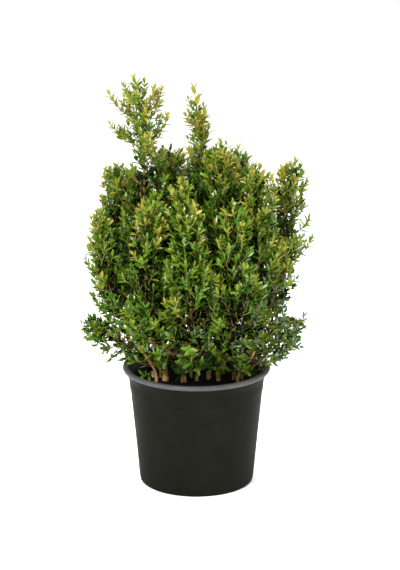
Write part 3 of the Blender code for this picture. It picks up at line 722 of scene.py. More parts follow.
def pot_outline(pot):
    """The pot's section from the middle of its underside, up the outside and down the inside.

    Each point comes with a slot: 0 for the outside, 1 for the rim and 2 for the inside.
    """
    foot = pot.base_radius - BASE_CORNER - pot.collar_step
    roll_r, roll_z = pot.rim_radius - pot.rim_roll, pot.height - pot.rim_roll
    collar_z, flare_z = pot.height - pot.collar_drop, pot.height - pot.flare_drop
    outside = [(0.0, 0.0), *((ring, 0.0) for ring in BASE_RINGS), (foot, 0.0)]
    outside += arc(foot, BASE_CORNER, BASE_CORNER, -80, -5, 6)
    outside += [(wall_at(pot, z) - pot.collar_step, z)
                for z in np.linspace(WALL_FOOT, collar_z - COLLAR_MARGIN, 16)]
    outside += [(wall_at(pot, collar_z) - pot.collar_step * share, collar_z - drop)
                for share, drop in COLLAR_EDGE]
    outside += [(wall_at(pot, z), z)
                for z in np.linspace(collar_z + BEND_MARGIN, flare_z - BEND_MARGIN, 5)]
    share = np.linspace(0.0, 1.0, 9)
    flare_r, rise = wall_at(pot, flare_z), roll_z - RIM_UNDERCUT * pot.rim_roll - flare_z
    flare = flare_r + (roll_r - flare_r) * share ** RIM_FLARE_POWER, flare_z + rise * share
    flare = np.stack(flare, axis=-1)
    outside += map(tuple, flare)
    rim = arc(roll_r, roll_z, pot.rim_roll, -88, 92, 16)
    rim += arc(roll_r - LIP_IN, pot.height - LIP_DOWN, LIP_RADIUS, 88, 172, 5)
    inside = list(map(tuple, (flare[::-1] + np.array(FLARE_INSET) * pot.wall)[1:-1]))
    inside += [(wall_at(pot, z) - pot.collar_step - pot.wall, z)
               for z in np.linspace(flare_z - 0.001, 0.010, 20)]
    floor = pot.base_radius - pot.wall - BASE_CORNER
    inside += [(ring, pot.wall) for ring in (floor, *BASE_RINGS[::-1], 0.0)]
    slots = [0] * len(outside) + [1] * len(rim) + [2] * (len(inside) - 1)
    return outside + rim + inside, slots


def drain_cutter():
    """Upright cylinders on a circle round +Z, as tubes of two rings."""
    angles = (np.arange(DRAIN_HOLES) + 0.5) * FULL_TURN / DRAIN_HOLES
    path = circles(DRAIN_CIRCLE, angles[:, None], np.array((-DRAIN_DEPTH, DRAIN_DEPTH)))
    skin = Skin()
    add_tubes(skin, path, np.full((DRAIN_HOLES, 2), DRAIN_RADIUS), 20)
    return skin.piece("drain cutter", [])


def cut_away(piece, cutter):
    """The piece less the cutter: one Boolean, applied, and the cutter removed."""
    modifier = piece.modifiers.new("drain holes", "BOOLEAN")
    modifier.operation = "DIFFERENCE"
    modifier.object = cutter
    graph = bpy.context.evaluated_depsgraph_get()
    cut = bpy.data.meshes.new_from_object(piece.evaluated_get(graph))
    piece.modifiers.clear()
    cut.name = piece.name
    piece.data = cut
    bpy.data.objects.remove(cutter)


class BOXWOOD_OT_add_pot(bpy.types.Operator):
    """Make the turned pot with its rolled rim, collar line and drain holes."""

    bl_idname = "boxwood.add_pot"
    bl_label = "Pot"

    def execute(self, context):
        """The outline carried round the axis, its wall a little uneven, less the drain holes."""
        pot = context.scene.boxwood_pot
        outline, slots = pot_outline(pot)
        field = waves(np.random.default_rng(SEED), *WALL_WAVES)

        def uneven(rings):
            """Rings swollen by the waves' field, which fades to nothing at the foot."""
            swell = 1.0 + WALL_SWELL * wave_field(rings, field) * ramp(rings[..., 2], 0.0, 0.05)
            return rings * np.stack((swell, swell, np.ones_like(swell)), axis=-1)

        skin = turned_skin(outline, 168, slots, uneven)
        # The rim's finish carries a painted highlight, and the inside's finish painted light on the
        # inner wall.
        finishes = [finish("pot plastic", pot.plastic), finish("pot rim", pot.rim_dust_and_highlight),
                    finish("pot inside", pot.inner)]
        piece = skin.piece("pot_shell", finishes, 38.0)
        cut_away(piece, drain_cutter())
        settle(piece, "pot_plastic", "pot")
        return {"FINISHED"}


class Earth:
    """The compost's surface: its middle level, a dip to the wall, heaps and small crumbs."""

    def __init__(self, pot, rng):
        self.top = pot.compost_top
        self.edge = wall_at(pot, EARTH_WALL_HEIGHT) - (pot.wall + pot.collar_step + 2.0 * GAP)
        self.heaps, self.crumbs = waves(rng, *HEAP_WAVES), waves(rng, *CRUMB_WAVES)

    def height(self, points):
        """Height at some places: level less dip, and the two fields of waves by their heights."""
        radius = np.hypot(points[..., 0], points[..., 1])
        dip = ramp(radius, DIP_START, self.edge - DIP_START) * EARTH_DIP
        flat = points * np.array((1.0, 1.0, 0.0))
        return (self.top - dip - EARTH_SINK + HEAP_HEIGHT * wave_field(flat, self.heaps)
                + CRUMB_HEIGHT * wave_field(flat, self.crumbs))


def crumbs_on(earth, rng):
    """Octahedra of six corners each, squashed, dented, turned and half sunk in the compost."""
    radius = (earth.edge - 0.006) * np.sqrt(rng.uniform(0.0, 1.0, CRUMBS))
    centre = circles(radius, any_turn(rng, CRUMBS), 0.0)
    size = rng.uniform(*CRUMB_SIZES, (CRUMBS, 1)) * np.array((1.0, 0.75, 0.55))
    corners = np.array(((1, 0, 0), (0, 1, 0), (-1, 0, 0), (0, -1, 0), (0, 0, 1), (0, 0, -1.0)))
    shapes = corners * size[:, None, :] * rng.uniform(0.7, 1.25, (CRUMBS, 6, 1))
    turn = any_turn(rng, (CRUMBS, 1))
    x = shapes[..., 0] * np.cos(turn) - shapes[..., 1] * np.sin(turn)
    y = shapes[..., 0] * np.sin(turn) + shapes[..., 1] * np.cos(turn)
    tilt = rng.uniform(-0.6, 0.6, (CRUMBS, 1))
    shapes = np.stack((x, y, shapes[..., 2] + x * tilt), axis=-1)
    centre[:, 2] = earth.height(centre) + size[:, 2] * 0.35
    ring = np.array((0, 1, 2, 3))
    after = np.roll(ring, -1)
    pattern = np.concatenate((np.stack((ring, after, 0 * ring + 4), axis=-1),
                              np.stack((after, ring, 0 * ring + 5), axis=-1)))
    faces = (np.arange(CRUMBS)[:, None, None] * 6 + pattern).reshape(-1, 3)
    skin = Skin()
    skin.add(centre[:, None, :] + shapes, [faces])
    return skin


class BOXWOOD_OT_add_compost(bpy.types.Operator):
    """Make the compost that fills the pot, with loose crumbs on it."""

    bl_idname = "boxwood.add_compost"
    bl_label = "Compost"

    def execute(self, context):
        """A turned block whose top follows random waves, and crumbs on it."""
        pot = context.scene.boxwood_pot
        rng = np.random.default_rng(SEED + 1)
        earth = Earth(pot, rng)
        low, foot = pot.wall + GAP, pot.base_radius - pot.wall - 0.005
        outline = [(0.0, low), (foot * 0.5, low), (foot, low), (foot + 0.002, low + 0.006)]
        outline += [(earth.edge - 0.0016 * step, earth.top - 0.010 * step) for step in (3, 2, 1)]
        rows = len(outline)
        outline += [(earth.edge * (1.0 - share), earth.top) for share in np.linspace(0.0, 0.985, 60)]
        outline.append((0.0, earth.top - 0.0015))

        def heaped(rings):
            """Rings whose top ones take the surface's height."""
            rings[rows - 1:, :, 2] = earth.height(rings[rows - 1:])
            return rings

        skin = turned_skin(outline, 150, [0] * (len(outline) - 1), heaped)
        settle(skin.piece("compost_fill", [finish("compost", pot.earth)], 80.0), "compost", "compost")
        crumbly = finish("compost crumbs", pot.crumb)
        settle(crumbs_on(earth, rng).piece("compost_crumbs", [crumbly], 20.0), "compost")
        return {"FINISHED"}


class Limb:
    """A stem or a bough: its ends, the lean that it arrives with, its radii and its node."""

    def __init__(self, start, end, waist, forked, radii, node):
        self.start, self.end, self.radii, self.node = start, end, radii, node
        self.lean = unit(np.array((waist[0] - end[0], waist[1] - end[1], LEAN_RISE)))
        self.top = FLARE_HEIGHT if forked else 0.0

    def curve(self, steps):
        """Points on an upright start, a cubic curve that leans at its end, and a fork's upright top."""
        low, high = self.start + UP * FLARE_HEIGHT, self.end - UP * self.top
        rise = (high[2] - low[2]) * LIMB_BEND
        arrival = UP if self.top else self.lean
        points = on_curve(np.stack((low, low + UP * rise, high - arrival * rise, high)),
                          np.linspace(0.0, 1.0, steps + 1))
        return np.concatenate((self.start[None], points, self.end[None][:int(self.top > 0.0)]))


def all_limbs(pot):
    """Every stem with its boughs, by the stem's name, and the limb that feeds each mass.

    A stem that carries two masses forks: each bough starts beside the fork's middle and enters
    its mass part of the way to the mass's waist.
    """
    limbs, feeding = {}, {}
    for name, (foot, top, foot_radius, top_radius) in STEMS.items():
        masses = [mass for mass in MASSES if MASSES[mass][0] == name]
        start, end = np.array((*foot, pot.compost_top + GAP)), np.array(top)
        forked = len(masses) > 1
        stem = Limb(start, end, MASSES[masses[0]][1], forked, (foot_radius, top_radius), "stem_" + name)
        limbs[name] = [stem]
        feeding[masses[0]] = stem
        if not forked:
            continue
        first, second = (np.array((*MASSES[mass][1], 0.0)) for mass in masses)
        across = unit(first - second)
        radius = top_radius * BOUGH_SHARE
        for mass, side in zip(masses, (across, -across)):
            waist = np.array(MASSES[mass][1])
            entry = np.array((*(end[:2] + (waist - end[:2]) * BOUGH_REACH), MASSES[mass][4]))
            feeding[mass] = Limb(end + side * (radius + GAP) + UP * GAP, entry, waist, False,
                                 (radius, min(radius, MASS_STEM_RADIUS)), "bough_" + mass)
            limbs[name].append(feeding[mass])
    return limbs, feeding


def mass_axes(feeding):
    """Each mass's axis as four controls: on from its limb, through its waist and up to its tip."""
    axes = {}
    for name, limb in feeding.items():
        points = limb.curve(LIMB_STEPS)
        direction = unit(points[-1] - points[-2])
        start, tip = points[-1] + direction * GAP, np.array(MASSES[name][2])
        waist = np.array((*MASSES[name][1], 0.0))
        rise = tip[2] - start[2]
        third = start + direction * rise * AXIS_START
        upper = (8.0 * waist - start - tip - 3.0 * third) / 3.0
        upper[2] = start[2] + rise * AXIS_UPPER
        axes[name] = np.stack((start, third, upper, tip))
    return axes


def bark_radii(path, radii, settings, flare, rng):
    """Radii of a ridged limb: an even taper, a flare at the foot, knots, and ridges that wander.

    Ridges are cosines of whole numbers round the limb, whose phases drift along it; knots are
    bell-shaped bumps on one side.
    """
    share = np.linspace(0.0, 1.0, len(path))[:, None]
    along = share * np.linalg.norm(np.diff(path, axis=0), axis=1).sum()
    angle = round_angles(settings.around)[None, :]
    base = radii[0] + (radii[1] - radii[0]) * share
    base = base * (1.0 + (flare - 1.0) * np.exp(-along / FLARE_FADE))
    ridges = np.zeros((len(path), settings.around))
    for count, weight in RIDGES:
        drift = rng.uniform(*RIDGE_DRIFT) * rng.choice((-1.0, 1.0))
        wander = 1.1 * np.cos(along * rng.uniform(*RIDGE_WANDER) + any_turn(rng))
        ridges += weight * np.cos(count * angle + along * drift + wander)
    scales = np.cos(along * SCALES + 2.0 * np.cos(3.0 * angle + any_turn(rng)))
    knots = np.zeros_like(ridges)
    for _ in range(max(2, int(along[-1, 0] / KNOT_STEP))):
        where, turn = rng.uniform(0.08, 0.95), any_turn(rng)
        near = ((share - where) * along[-1, 0] / KNOT_LENGTH) ** 2
        near = near + ((np.cos(angle - turn) - 1.0) / KNOT_WIDTH) ** 2
        knots += KNOT_HEIGHT * np.exp(-near)
    return base * (1.0 + settings.relief * (0.55 * ridges + 0.45 * scales) + knots)


def sunk(path, number):
    """The path let down into what carries it: the compost, or the fork under a bough."""
    if not number:
        return np.concatenate((path[:1] - UP * LIMB_SINK, path))
    inward = unit(path[0] - path[-1]) * np.array((1.0, 1.0, 0.0)) * 0.6 - UP
    return np.concatenate((path[:1] + inward * LIMB_SINK, path[1:]))


class BOXWOOD_OT_add_limbs(bpy.types.Operator):
    """Make every stem with the boughs that fork from it, with the bark's relief."""

    bl_idname = "boxwood.add_limbs"
    bl_label = "Stems and boughs"

    def execute(self, context):
        """Rings of wandering radii carried along each limb's curve, a little stouter at a fork."""
        settings = context.scene.boxwood_limbs
        bark = finish("bark", settings.furrow, settings.bark)
        for name, parts in all_limbs(context.scene.boxwood_pot)[0].items():
            rng = draws_for(name)
            skin = Skin()
            for number, limb in enumerate(parts):
                path = sunk(limb.curve(settings.along), number)
                thick = bark_radii(path, limb.radii, settings, 1.0 if number else FLARE, rng)
                if limb.top:
                    drop = 1.0 - np.linspace(0.0, 1.0, len(path))[:, None]
                    thick = thick * (1.0 + FORK_SWELL * np.exp(-(drop / FORK_FADE) ** 2))
                skin.add(carried_rings(path[None], thick[None], settings.around),
                         tube_faces(1, len(path), settings.around))
            settle(skin.piece("limb_" + name, [bark], 60.0), "bark", *(limb.node for limb in parts))
        return {"FINISHED"}


class BOXWOOD_OT_add_stubs(bpy.types.Operator):
    """Make the pruned stubs that stand on the compost."""

    bl_idname = "boxwood.add_stubs"
    bl_label = "Pruned stubs"

    def execute(self, context):
        """Ridged rings up to a slanting cut, closed by a pale disc that dips to its middle."""
        settings, pot = context.scene.boxwood_limbs, context.scene.boxwood_pot
        materials = (finish("bark", settings.furrow, settings.bark),
                     finish("cut wood", settings.cut_wood))
        for name, (foot, height, radius) in STUBS.items():
            start = np.array((*foot, pot.compost_top + GAP - STUB_SINK))
            path = start + UP * np.linspace(0.0, height + STUB_SINK, STUB_RINGS)[:, None]
            thick = bark_radii(path, (radius * 1.12, radius), settings, 1.25, draws_for(name))
            rings = carried_rings(path[None], thick[None], settings.around)[0]
            share = np.linspace(0.0, 1.0, STUB_RINGS)[:, None] ** 3
            rings[..., 2] += (rings[..., 0] - foot[0]) * STUB_SLANT * share
            rings = np.concatenate([rings] + [rings[-1:] * (1.0 - step) + rings[-1].mean(axis=0) * step
                                              for step, _ in CUT_RINGS])
            rings[STUB_RINGS:, :, 2] -= np.array([dip for _, dip in CUT_RINGS])[:, None]
            slots = np.repeat([0] * (STUB_RINGS - 1) + [1] * len(CUT_RINGS), settings.around)
            skin = Skin()
            skin.add(rings, tube_faces(1, len(rings), settings.around), [slots, 0, 1])
            settle(skin.piece(name + "_wood", materials, 45.0), "bark", name)
        return {"FINISHED"}


def envelope(name, s):
    """A mass's radius at s from foot to tip: cosine blends between three widths, a pointed end."""
    low, middle, high = MASSES[name][3]
    rising = low + (middle - low) * (0.5 - 0.5 * np.cos(np.pi * s / WAIST_AT))
    turn = np.pi * (s - WAIST_AT) / (SHOULDER_AT - WAIST_AT)
    easing = middle + (high - middle) * (0.5 - 0.5 * np.cos(turn))
    closing = high * np.clip(1.0 - ((s - SHOULDER_AT) / CLOSING) ** 2, 0.0, None) ** CLOSING_POWER
    return np.where(s < WAIST_AT, rising, np.where(s < SHOULDER_AT, easing, closing))


class Crown:
    """The space of the crown: which mass each place belongs to, and where the limbs are."""

    def __init__(self, pot):
        self.limbs, self.feeding = all_limbs(pot)
        self.axes = mass_axes(self.feeding)
        self.names = list(self.axes)
        self.lines = np.stack([on_curve(self.axes[name], np.linspace(0.0, 1.0, AXIS_SAMPLES))
                               for name in self.names])
        parts = [limb for limbs in self.limbs.values() for limb in limbs]
        lines = [limb.curve(LIMB_SAMPLES) for limb in parts]
        self.limb_points = np.concatenate(lines)
        self.limb_radii = np.concatenate([np.full(len(line), max(limb.radii) + LIMB_CLEAR)
                                          for limb, line in zip(parts, lines)])
        self.low, self.high = np.array(CAD_BOX[0]) - BOX_SLACK, np.array(CAD_BOX[1]) + BOX_SLACK

    def nearest(self, points, lines):
        """Distances to some masses' axes, and the nearest places on these, from foot to tip."""
        squares = ((points[:, None, None, :] - lines) ** 2).sum(axis=-1)
        return np.sqrt(squares.min(axis=-1)), squares.argmin(axis=-1) / (AXIS_SAMPLES - 1)

    def depth(self, name, points):
        """How deep each place lies in its mass: 1 on the axis, 0 on the outline, by distances."""
        gaps, s = self.nearest(points, self.lines[self.names.index(name)][None])
        return np.clip(1.0 - gaps[:, 0] / (envelope(name, s[:, 0]) + SPACE_SLACK), 0.0, 1.0)

    def crowded(self, name, points):
        """Whether each place also lies within another mass's outline."""
        gaps, s = self.nearest(points, self.lines)
        reach = np.stack([envelope(other, s[:, row]) for row, other in enumerate(self.names)], axis=1)
        inside = gaps < reach
        inside[:, self.names.index(name)] = False
        return inside.any(axis=1)

    def holds(self, name, points, slack):
        """Whether each place is in this mass's space, give or take some slack.

        It is nearest this mass's axis, within the outline's radius at the nearest place on that
        axis, clear of the limbs, above the rim and inside the solids' box.
        """
        own = self.names.index(name)
        gaps, s = self.nearest(points, self.lines)
        gap, others = gaps[:, own], np.delete(gaps, own, axis=1).min(axis=1)
        limbs = np.sqrt(((points[:, None, :] - self.limb_points) ** 2).sum(axis=-1))
        return ((gap <= others + slack + OVERLAP) & (gap <= envelope(name, s[:, own]) + slack)
                & (limbs > self.limb_radii).all(axis=1) & (points[:, 2] > LOWEST_LEAF)
                & (points > self.low).all(axis=1) & (points < self.high).all(axis=1))


def bent_shoots(base, out, along, reach, climb, start_rise, end_rise):
    """Shoots as cubic curves that leave at one rise over `out` and arrive at a steeper one.

    end = base + out reach + along climb; the inner controls lie a given share of the span from
    each end, in the directions out cos rise + along sin rise.
    """
    reach, climb, start_rise, end_rise = (np.asarray(value)[..., None]
                                          for value in (reach, climb, start_rise, end_rise))
    end = base + out * reach + along * climb
    inset = np.linalg.norm(end - base, axis=-1, keepdims=True) * SHOOT_INSET
    first = base + turned(out, along, start_rise) * inset
    last = end - turned(out, along, end_rise) * inset
    return np.stack((base, first, last, end), axis=-2)


def sized_shoots(base, out, along, size, rise, less, more):
    """Bent shoots of a size, whose rise is less by some radians at the start and more at the end."""
    return bent_shoots(base, out, along, size * np.cos(rise), size * np.sin(rise),
                       rise - less, rise + more)


def curve_length(controls):
    """Length of each curve: the sum of eight straight steps along it."""
    points = on_curve(controls[..., None, :, :], np.linspace(0.0, 1.0, 9))
    return np.linalg.norm(np.diff(points, axis=-2), axis=-1).sum(axis=-1)


def open_habit(name, heights):
    """Slope, step and length factors at some heights: they set in over 5 cm from the mass's height."""
    *factors, start = OPEN_HABIT.get(name, (1.0, 1.0, 1.0, 0.0))
    share = ramp(heights, start, 0.05)
    return tuple(factor ** share for factor in factors)


class Shoots:
    """Shoots of one order: their curves, radii, bare share, phase, tone and vigour."""

    def __init__(self, curves, radii, bare, phase, tone, vigour):
        self.curves, self.radii = curves, radii
        self.bare = np.broadcast_to(bare, (len(curves),))
        self.phase, self.tone, self.vigour = phase, tone, vigour

    def kept(self, keep):
        """Only the shoots that a mask keeps."""
        return Shoots(self.curves[keep], self.radii, self.bare[keep], self.phase[keep],
                      self.tone[keep], self.vigour[keep])


def side_twigs(crown, name, foliage, rng):
    """Side twigs at the golden angle round a mass's stem, bending up to reach its outline.

    With s from foot to tip, they climb by their reach times 0.75 to 2.85, flattest at the foot.
    Their reach is the outline's width by a random fill that waves over the mass. Where another
    mass stands beside it they all reach the full width, so that no gap opens.
    """
    axis = crown.axes[name]
    count = int(MASSES[name][5] * foliage.twig_factor)
    length = curve_length(axis)
    phase = any_turn(rng)
    s = np.clip(np.linspace(*TWIG_SPAN, count) + rng.uniform(-0.012, 0.012, count), 0.01, TWIG_SPAN[1])
    base, along = on_curve(axis, s), heading(axis, s)
    out = side_of(along, phase + np.arange(count) * GOLDEN_ANGLE + rng.normal(0.0, 0.12, count))
    flatter = open_habit(name, base[:, 2])[0]
    start_rise = np.radians(rng.uniform(12.0, 28.0, count) + 30.0 * np.minimum(1.0, 2.0 * s))
    end_rise = np.radians(rng.uniform(66.0, 84.0, count)) * (0.25 + 0.75 * flatter)
    slope = (0.75 + 2.1 * np.minimum(1.0, 1.8 * s)) * flatter * rng.uniform(0.75, 1.25, count)
    fill = 1.06 - 0.50 * rng.uniform(0.0, 1.0, count) ** 1.3
    middle = MASSES[name][3][1]
    fill = fill * (1.0 + FILL_HEIGHT * wave_field(base + out * middle, waves(rng, *FILL_WAVES)))
    beside = crown.crowded(name, base + out * envelope(name, s)[:, None])
    fill = np.where(beside, np.maximum(fill, 1.0), fill)
    leaf_reach = foliage.leaf_length * 0.45
    reach = np.clip(envelope(name, np.minimum(1.0, s + 0.05)) * fill - leaf_reach, LEAST_REACH, None)
    s_end = np.minimum(HIGHEST_TWIG, s + reach * slope / length)
    reach = np.clip(envelope(name, s_end) * fill - leaf_reach, LEAST_REACH, None)
    climb = np.minimum(reach * slope, (HIGHEST_TWIG - s) * length)
    curves = bent_shoots(base, out, unit(along + UP * 0.35), reach, climb, start_rise, end_rise)
    tone = rng.normal(0.0, 0.18, count)
    vigour = rng.uniform(0.88, 1.10, count)
    twigs = Shoots(curves, TWIG_RADII, 0.34, any_turn(rng, count), tone, vigour)
    keep = s < LARGE_TIP.get(name, USUAL_TIP)[1]
    if name in THINNED:
        low, high, share, front = THINNED[name]
        bare = (base[:, 2] > low) & (base[:, 2] < high) & (out[:, 1] < front)
        keep &= ~(bare & (rng.uniform(size=count) < share))
    return twigs.kept(keep)


def fitted(crown, name, shoots, foliage, shares):
    """Shoots shortened by the first share at which their middle and tip stay in the mass's space."""
    curves = shoots.curves.copy()
    settled = np.zeros(len(curves), dtype=bool)
    base = shoots.curves[:, :1]
    for share in shares:
        tried = base + (shoots.curves - base) * share
        middle = on_curve(tried, np.full(len(tried), 0.6))
        tip = tried[:, 3] + unit(tried[:, 3] - tried[:, 2]) * foliage.leaf_length * 0.5
        fits = ~settled
        for points in (middle, tip):
            fits &= crown.holds(name, points, SPACE_SLACK * 0.5)
        curves[fits] = tried[fits]
        settled |= fits
    shoots.curves = curves
    return shoots.kept(settled)


def numbered(counts):
    """Row and column of every item, where each row holds its own count of them."""
    return np.nonzero(np.arange(counts.max()) < counts[:, None])


def small_shoots(name, parents, foliage, rng):
    """Small shoots in opposite pairs along the side twigs, each pair turned from the one before."""
    _, spread, short = open_habit(name, parents.curves[:, 0, 2])
    counts = np.round(curve_length(parents.curves) / (foliage.shoot_step * spread))
    counts = np.clip(counts, *SHOOTS_ON_TWIG).astype(int)
    row, column = numbered(counts)
    total = len(row)
    share = 0.20 + 0.72 * (column + 0.5) / counts[row]
    curves = parents.curves[row]
    base, along = on_curve(curves, share), heading(curves, share)
    turn = (column % 2) * math.pi + (column // 2) * math.pi / 2.0
    angle = parents.phase[row] + turn + rng.normal(0.0, 0.25, total)
    out = turned(*frame_along(curves[:, 3] - curves[:, 0], along), angle[:, None])
    size = foliage.shoot_length * short[row] * (1.0 - 0.45 * share) * rng.uniform(0.55, 1.1, total)
    rise = np.radians(rng.uniform(50.0, 70.0, total))
    made = sized_shoots(base, out, unit(along + UP * 0.8), size, rise, 0.12, 0.35)
    tone = parents.tone[row] + rng.normal(0.0, 0.17, total)
    return Shoots(made, SHOOT_RADII, 0.12, any_turn(rng, total), tone,
                  parents.vigour[row] * rng.uniform(0.9, 1.08, total))


def stem_shoots(name, leader, foliage, rng):
    """Steep small shoots at the golden angle up a mass's own stem, from a given share of it."""
    start = CLOTHED[name]
    count = int(curve_length(leader.curves)[0] * (1.0 - start) / (0.55 * foliage.shoot_step))
    share = np.linspace(start, min(0.87, LARGE_TIP.get(name, USUAL_TIP)[1]), count)
    curves = np.repeat(leader.curves, count, axis=0)
    base, along = on_curve(curves, share), heading(curves, share)
    out = side_of(along, np.arange(count) * GOLDEN_ANGLE)
    size = foliage.shoot_length * (1.0 - 0.35 * share) * rng.uniform(0.6, 1.1, count)
    rise = np.radians(rng.uniform(58.0, 76.0, count))
    made = sized_shoots(base, out, along, size, rise, 0.30, 0.15)
    return Shoots(made, SHOOT_RADII, 0.10, any_turn(rng, count),
                  rng.normal(0.10, 0.12, count), rng.uniform(0.95, 1.12, count))


class Leaves:
    """Leaves as roots, directions, upper sides, sizes, ages, their shoots' numbers and tips."""

    def __init__(self, root, direction, upper, size, age, spray, length):
        self.root, self.direction, self.upper, self.size = root, direction, upper, size
        self.age, self.spray = age, spray
        self.tip = root + direction * (length * size)[:, None]


def leaf_pairs(shoots, foliage, rng):
    """All leaves on some shoots, in opposite pairs.

    Counted from each tip, pair j stands at j steps (closer at the tip), turned 90 degrees from
    its neighbour. Its two leaves point away on opposite sides, at an angle to the shoot that
    grows from 21 to about 52 degrees, and they are smaller at the tip.
    """
    length = curve_length(shoots.curves)
    step = foliage.pair_step * shoots.vigour
    counts = np.maximum(2, np.floor(length * (1.0 - shoots.bare) / step)).astype(int)
    row, column = (np.repeat(numbers, 2) for numbers in numbered(counts))
    total = len(row)
    side = np.arange(total) % 2
    back = step[row] * (column + 0.10 + rng.uniform(-0.12, 0.12, total))
    back = back * (1.0 - 0.35 * np.exp(-column / 1.5))
    t = np.clip(1.0 - back / length[row], 0.0, 1.0)
    curves = shoots.curves[row]
    root, along = on_curve(curves, t), heading(curves, t)
    angle = shoots.phase[row] + column * math.pi / 2.0 + side * math.pi + rng.normal(0.0, 0.22, total)
    out = turned(*frame_along(curves[:, 3] - curves[:, 0], along), angle[:, None])
    lean = np.radians(52.0 - 31.0 * np.exp(-column / 1.4) + rng.normal(0.0, 7.0, total))[:, None]
    direction = unit(turned(along, out, lean) + UP * 0.10)
    upper = along * np.sin(lean) - out * np.cos(lean) + UP * rng.uniform(0.0, 0.45, (total, 1))
    upper = unit(upper - direction * dot(upper, direction))
    size = (1.0 - 0.40 * np.exp(-column / 1.2)) * shoots.vigour[row] * rng.uniform(0.86, 1.10, total)
    return Leaves(root, direction, upper, size, column, row, foliage.leaf_length)


def leaf_shape(foliage):
    """One leaf as 14 places along x, across y and up z, with its faces split by side.

    Half width at t is (1 - |2t - 1|^2.2)^0.6 of the full one; the edges stand over the midrib
    by a fifth of their distance from it, and the leaf bends back by the square of t. The
    underside's midrib lies one leaf body lower.
    """
    t = np.array((0.23, 0.55, 0.87))
    half = 0.5 * foliage.leaf_width * (1.0 - np.abs(2.0 * t - 1.0) ** 2.2) ** 0.6
    bend, fold = 0.13 * foliage.leaf_length, 0.24
    x, sag = t * foliage.leaf_length, -bend * t * t
    right = np.stack((x, -half, sag + fold * half), axis=-1)
    middle = np.stack((x, 0.0 * half, sag), axis=-1)
    left = right * (1.0, -1.0, 1.0)
    under = middle - np.array((0.0, 0.0, foliage.leaf_body))
    ends = np.array(((0.0, 0.0, 0.0), (foliage.leaf_length, 0.0, -bend)))
    places = np.concatenate((ends, right, middle, left, under))
    r, m, l, b = 2, 5, 8, 11
    top_triangles = ((0, r, m), (0, m, l), (r + 2, 1, m + 2), (m + 2, 1, l + 2))
    top_quads = [(r + i, r + i + 1, m + i + 1, m + i) for i in (0, 1)]
    top_quads += [(m + i, m + i + 1, l + i + 1, l + i) for i in (0, 1)]
    low_triangles = ((0, b, r), (0, l, b), (r + 2, b + 2, 1), (b + 2, l + 2, 1))
    low_quads = [(r + i, b + i, b + i + 1, r + i + 1) for i in (0, 1)]
    low_quads += [(b + i, l + i, l + i + 1, b + i + 1) for i in (0, 1)]
    return places, [np.array(rows) for rows in (top_triangles, top_quads, low_triangles, low_quads)]


def add_leaves(skin, shape, leaves, keep, tones):
    """Carries the leaf to each kept place: root + size (x direction + y across + z upper)."""
    places, patterns = shape
    direction, upper, tones = leaves.direction[keep], leaves.upper[keep], tones[keep]
    axes = np.stack((direction, np.cross(upper, direction), upper), axis=1)
    carried = np.einsum("pk,nkc->npc", places, axes) * leaves.size[keep][:, None, None]
    carried = leaves.root[keep][:, None, :] + carried
    start = np.arange(len(tones))[:, None, None] * len(places)
    faces = [(start + pattern).reshape(-1, pattern.shape[1]) for pattern in patterns]
    slots = [np.repeat(tones * 2 + under, len(pattern))
             for pattern, under in zip(patterns, (0, 0, 1, 1))]
    skin.add(carried, faces, slots)


def share_of_height(points):
    """How far up the foliage some places are: 0 at its foot and 1 near its top."""
    return (points[:, 2] - FOLIAGE_FOOT) / FOLIAGE_RISE


def tone_numbers(name, leaves, tone, deep, rng):
    """Deals a tone to each leaf by its spray: brighter high up, outside and at the tips.

    The tones hold painted light and shade: the rise with height is partly younger growth and partly
    painted light from above, and the fall with depth in the mass and towards the crown's core is
    painted shade. score = 0.26 + 0.52 height + 0.32 outer + the mass's own offset (partly its colour,
    partly painted light and shade) + spray's own + up to 0.30 for the newest leaves - 0.75 depth in
    the mass + the leaf's own. Outer is the distance from the crown's core, by the length of
    (radius / 0.19, height over 0.45 / 0.20). The brightest sprays are held back low on the plant,
    and spray and depth count up to 35 % less in the spires. The score's steps give six greens.
    """
    height, up = share_of_height(leaves.root), leaves.root[:, 2]
    spire = 1.0 - 0.35 * ramp(up, 0.58, 0.08)
    tone = (tone - 0.9 * np.clip(tone - 0.14, 0.0, None) * np.clip(1.0 - height, 0.0, 1.0)) * spire
    over = np.clip(up - 0.45, 0.0, None) / 0.20
    core = np.hypot(leaves.root[:, 0], leaves.root[:, 1]) / 0.19
    outer = np.clip(np.hypot(core, over), 0.0, 1.1)
    newest = (0.10 + 0.20 * np.clip(height, 0.0, 1.0)) * np.exp(-leaves.age / 1.5)
    # Each mass's offset is partly its own colour and partly painted light and shade.
    tint_and_painted_light = MASS_TINT_AND_PAINTED_LIGHT.get(name, 0.0)
    # The depth term and the low outer values of the crown's core paint shade into the leaves' tones;
    # the height term is partly painted light.
    score = 0.26 + 0.52 * height + 0.32 * outer + tint_and_painted_light + tone + newest - 0.75 * (deep * spire)
    score += rng.normal(0.0, 0.09, len(score))
    return (score[:, None] < np.array(TONE_STEPS)).sum(axis=1)


def rare_tones(numbers, spray, spray_place, rng):
    """Whole sprays turned blue-green low on the right, and a few gold or rust."""
    count = len(spray_place)
    bluish = np.clip(0.34 + 1.6 * spray_place[:, 0] - 1.3 * share_of_height(spray_place), 0.0, 0.75)
    blue = (rng.uniform(size=count) < bluish)[spray] & (numbers >= 2) & (numbers <= 4)
    odd = rng.uniform(size=count)
    numbers = np.where(blue, RARE_BLUE, numbers)
    numbers = np.where((odd < GOLD_ODDS)[spray], RARE_GOLD, numbers)
    return np.where((odd > 1.0 - RUST_ODDS)[spray], RARE_RUST, numbers)


def add_shoot_tubes(skin, shoots, stations, sides, old_share):
    """Thin tapering tubes along some shoots."""
    t = np.linspace(0.0, 1.0, stations)
    path = on_curve(shoots.curves[:, None], t)
    radii = shoots.radii[0] + (shoots.radii[1] - shoots.radii[0]) * t
    add_tubes(skin, path, np.broadcast_to(radii, path.shape[:2]), sides, old_share)


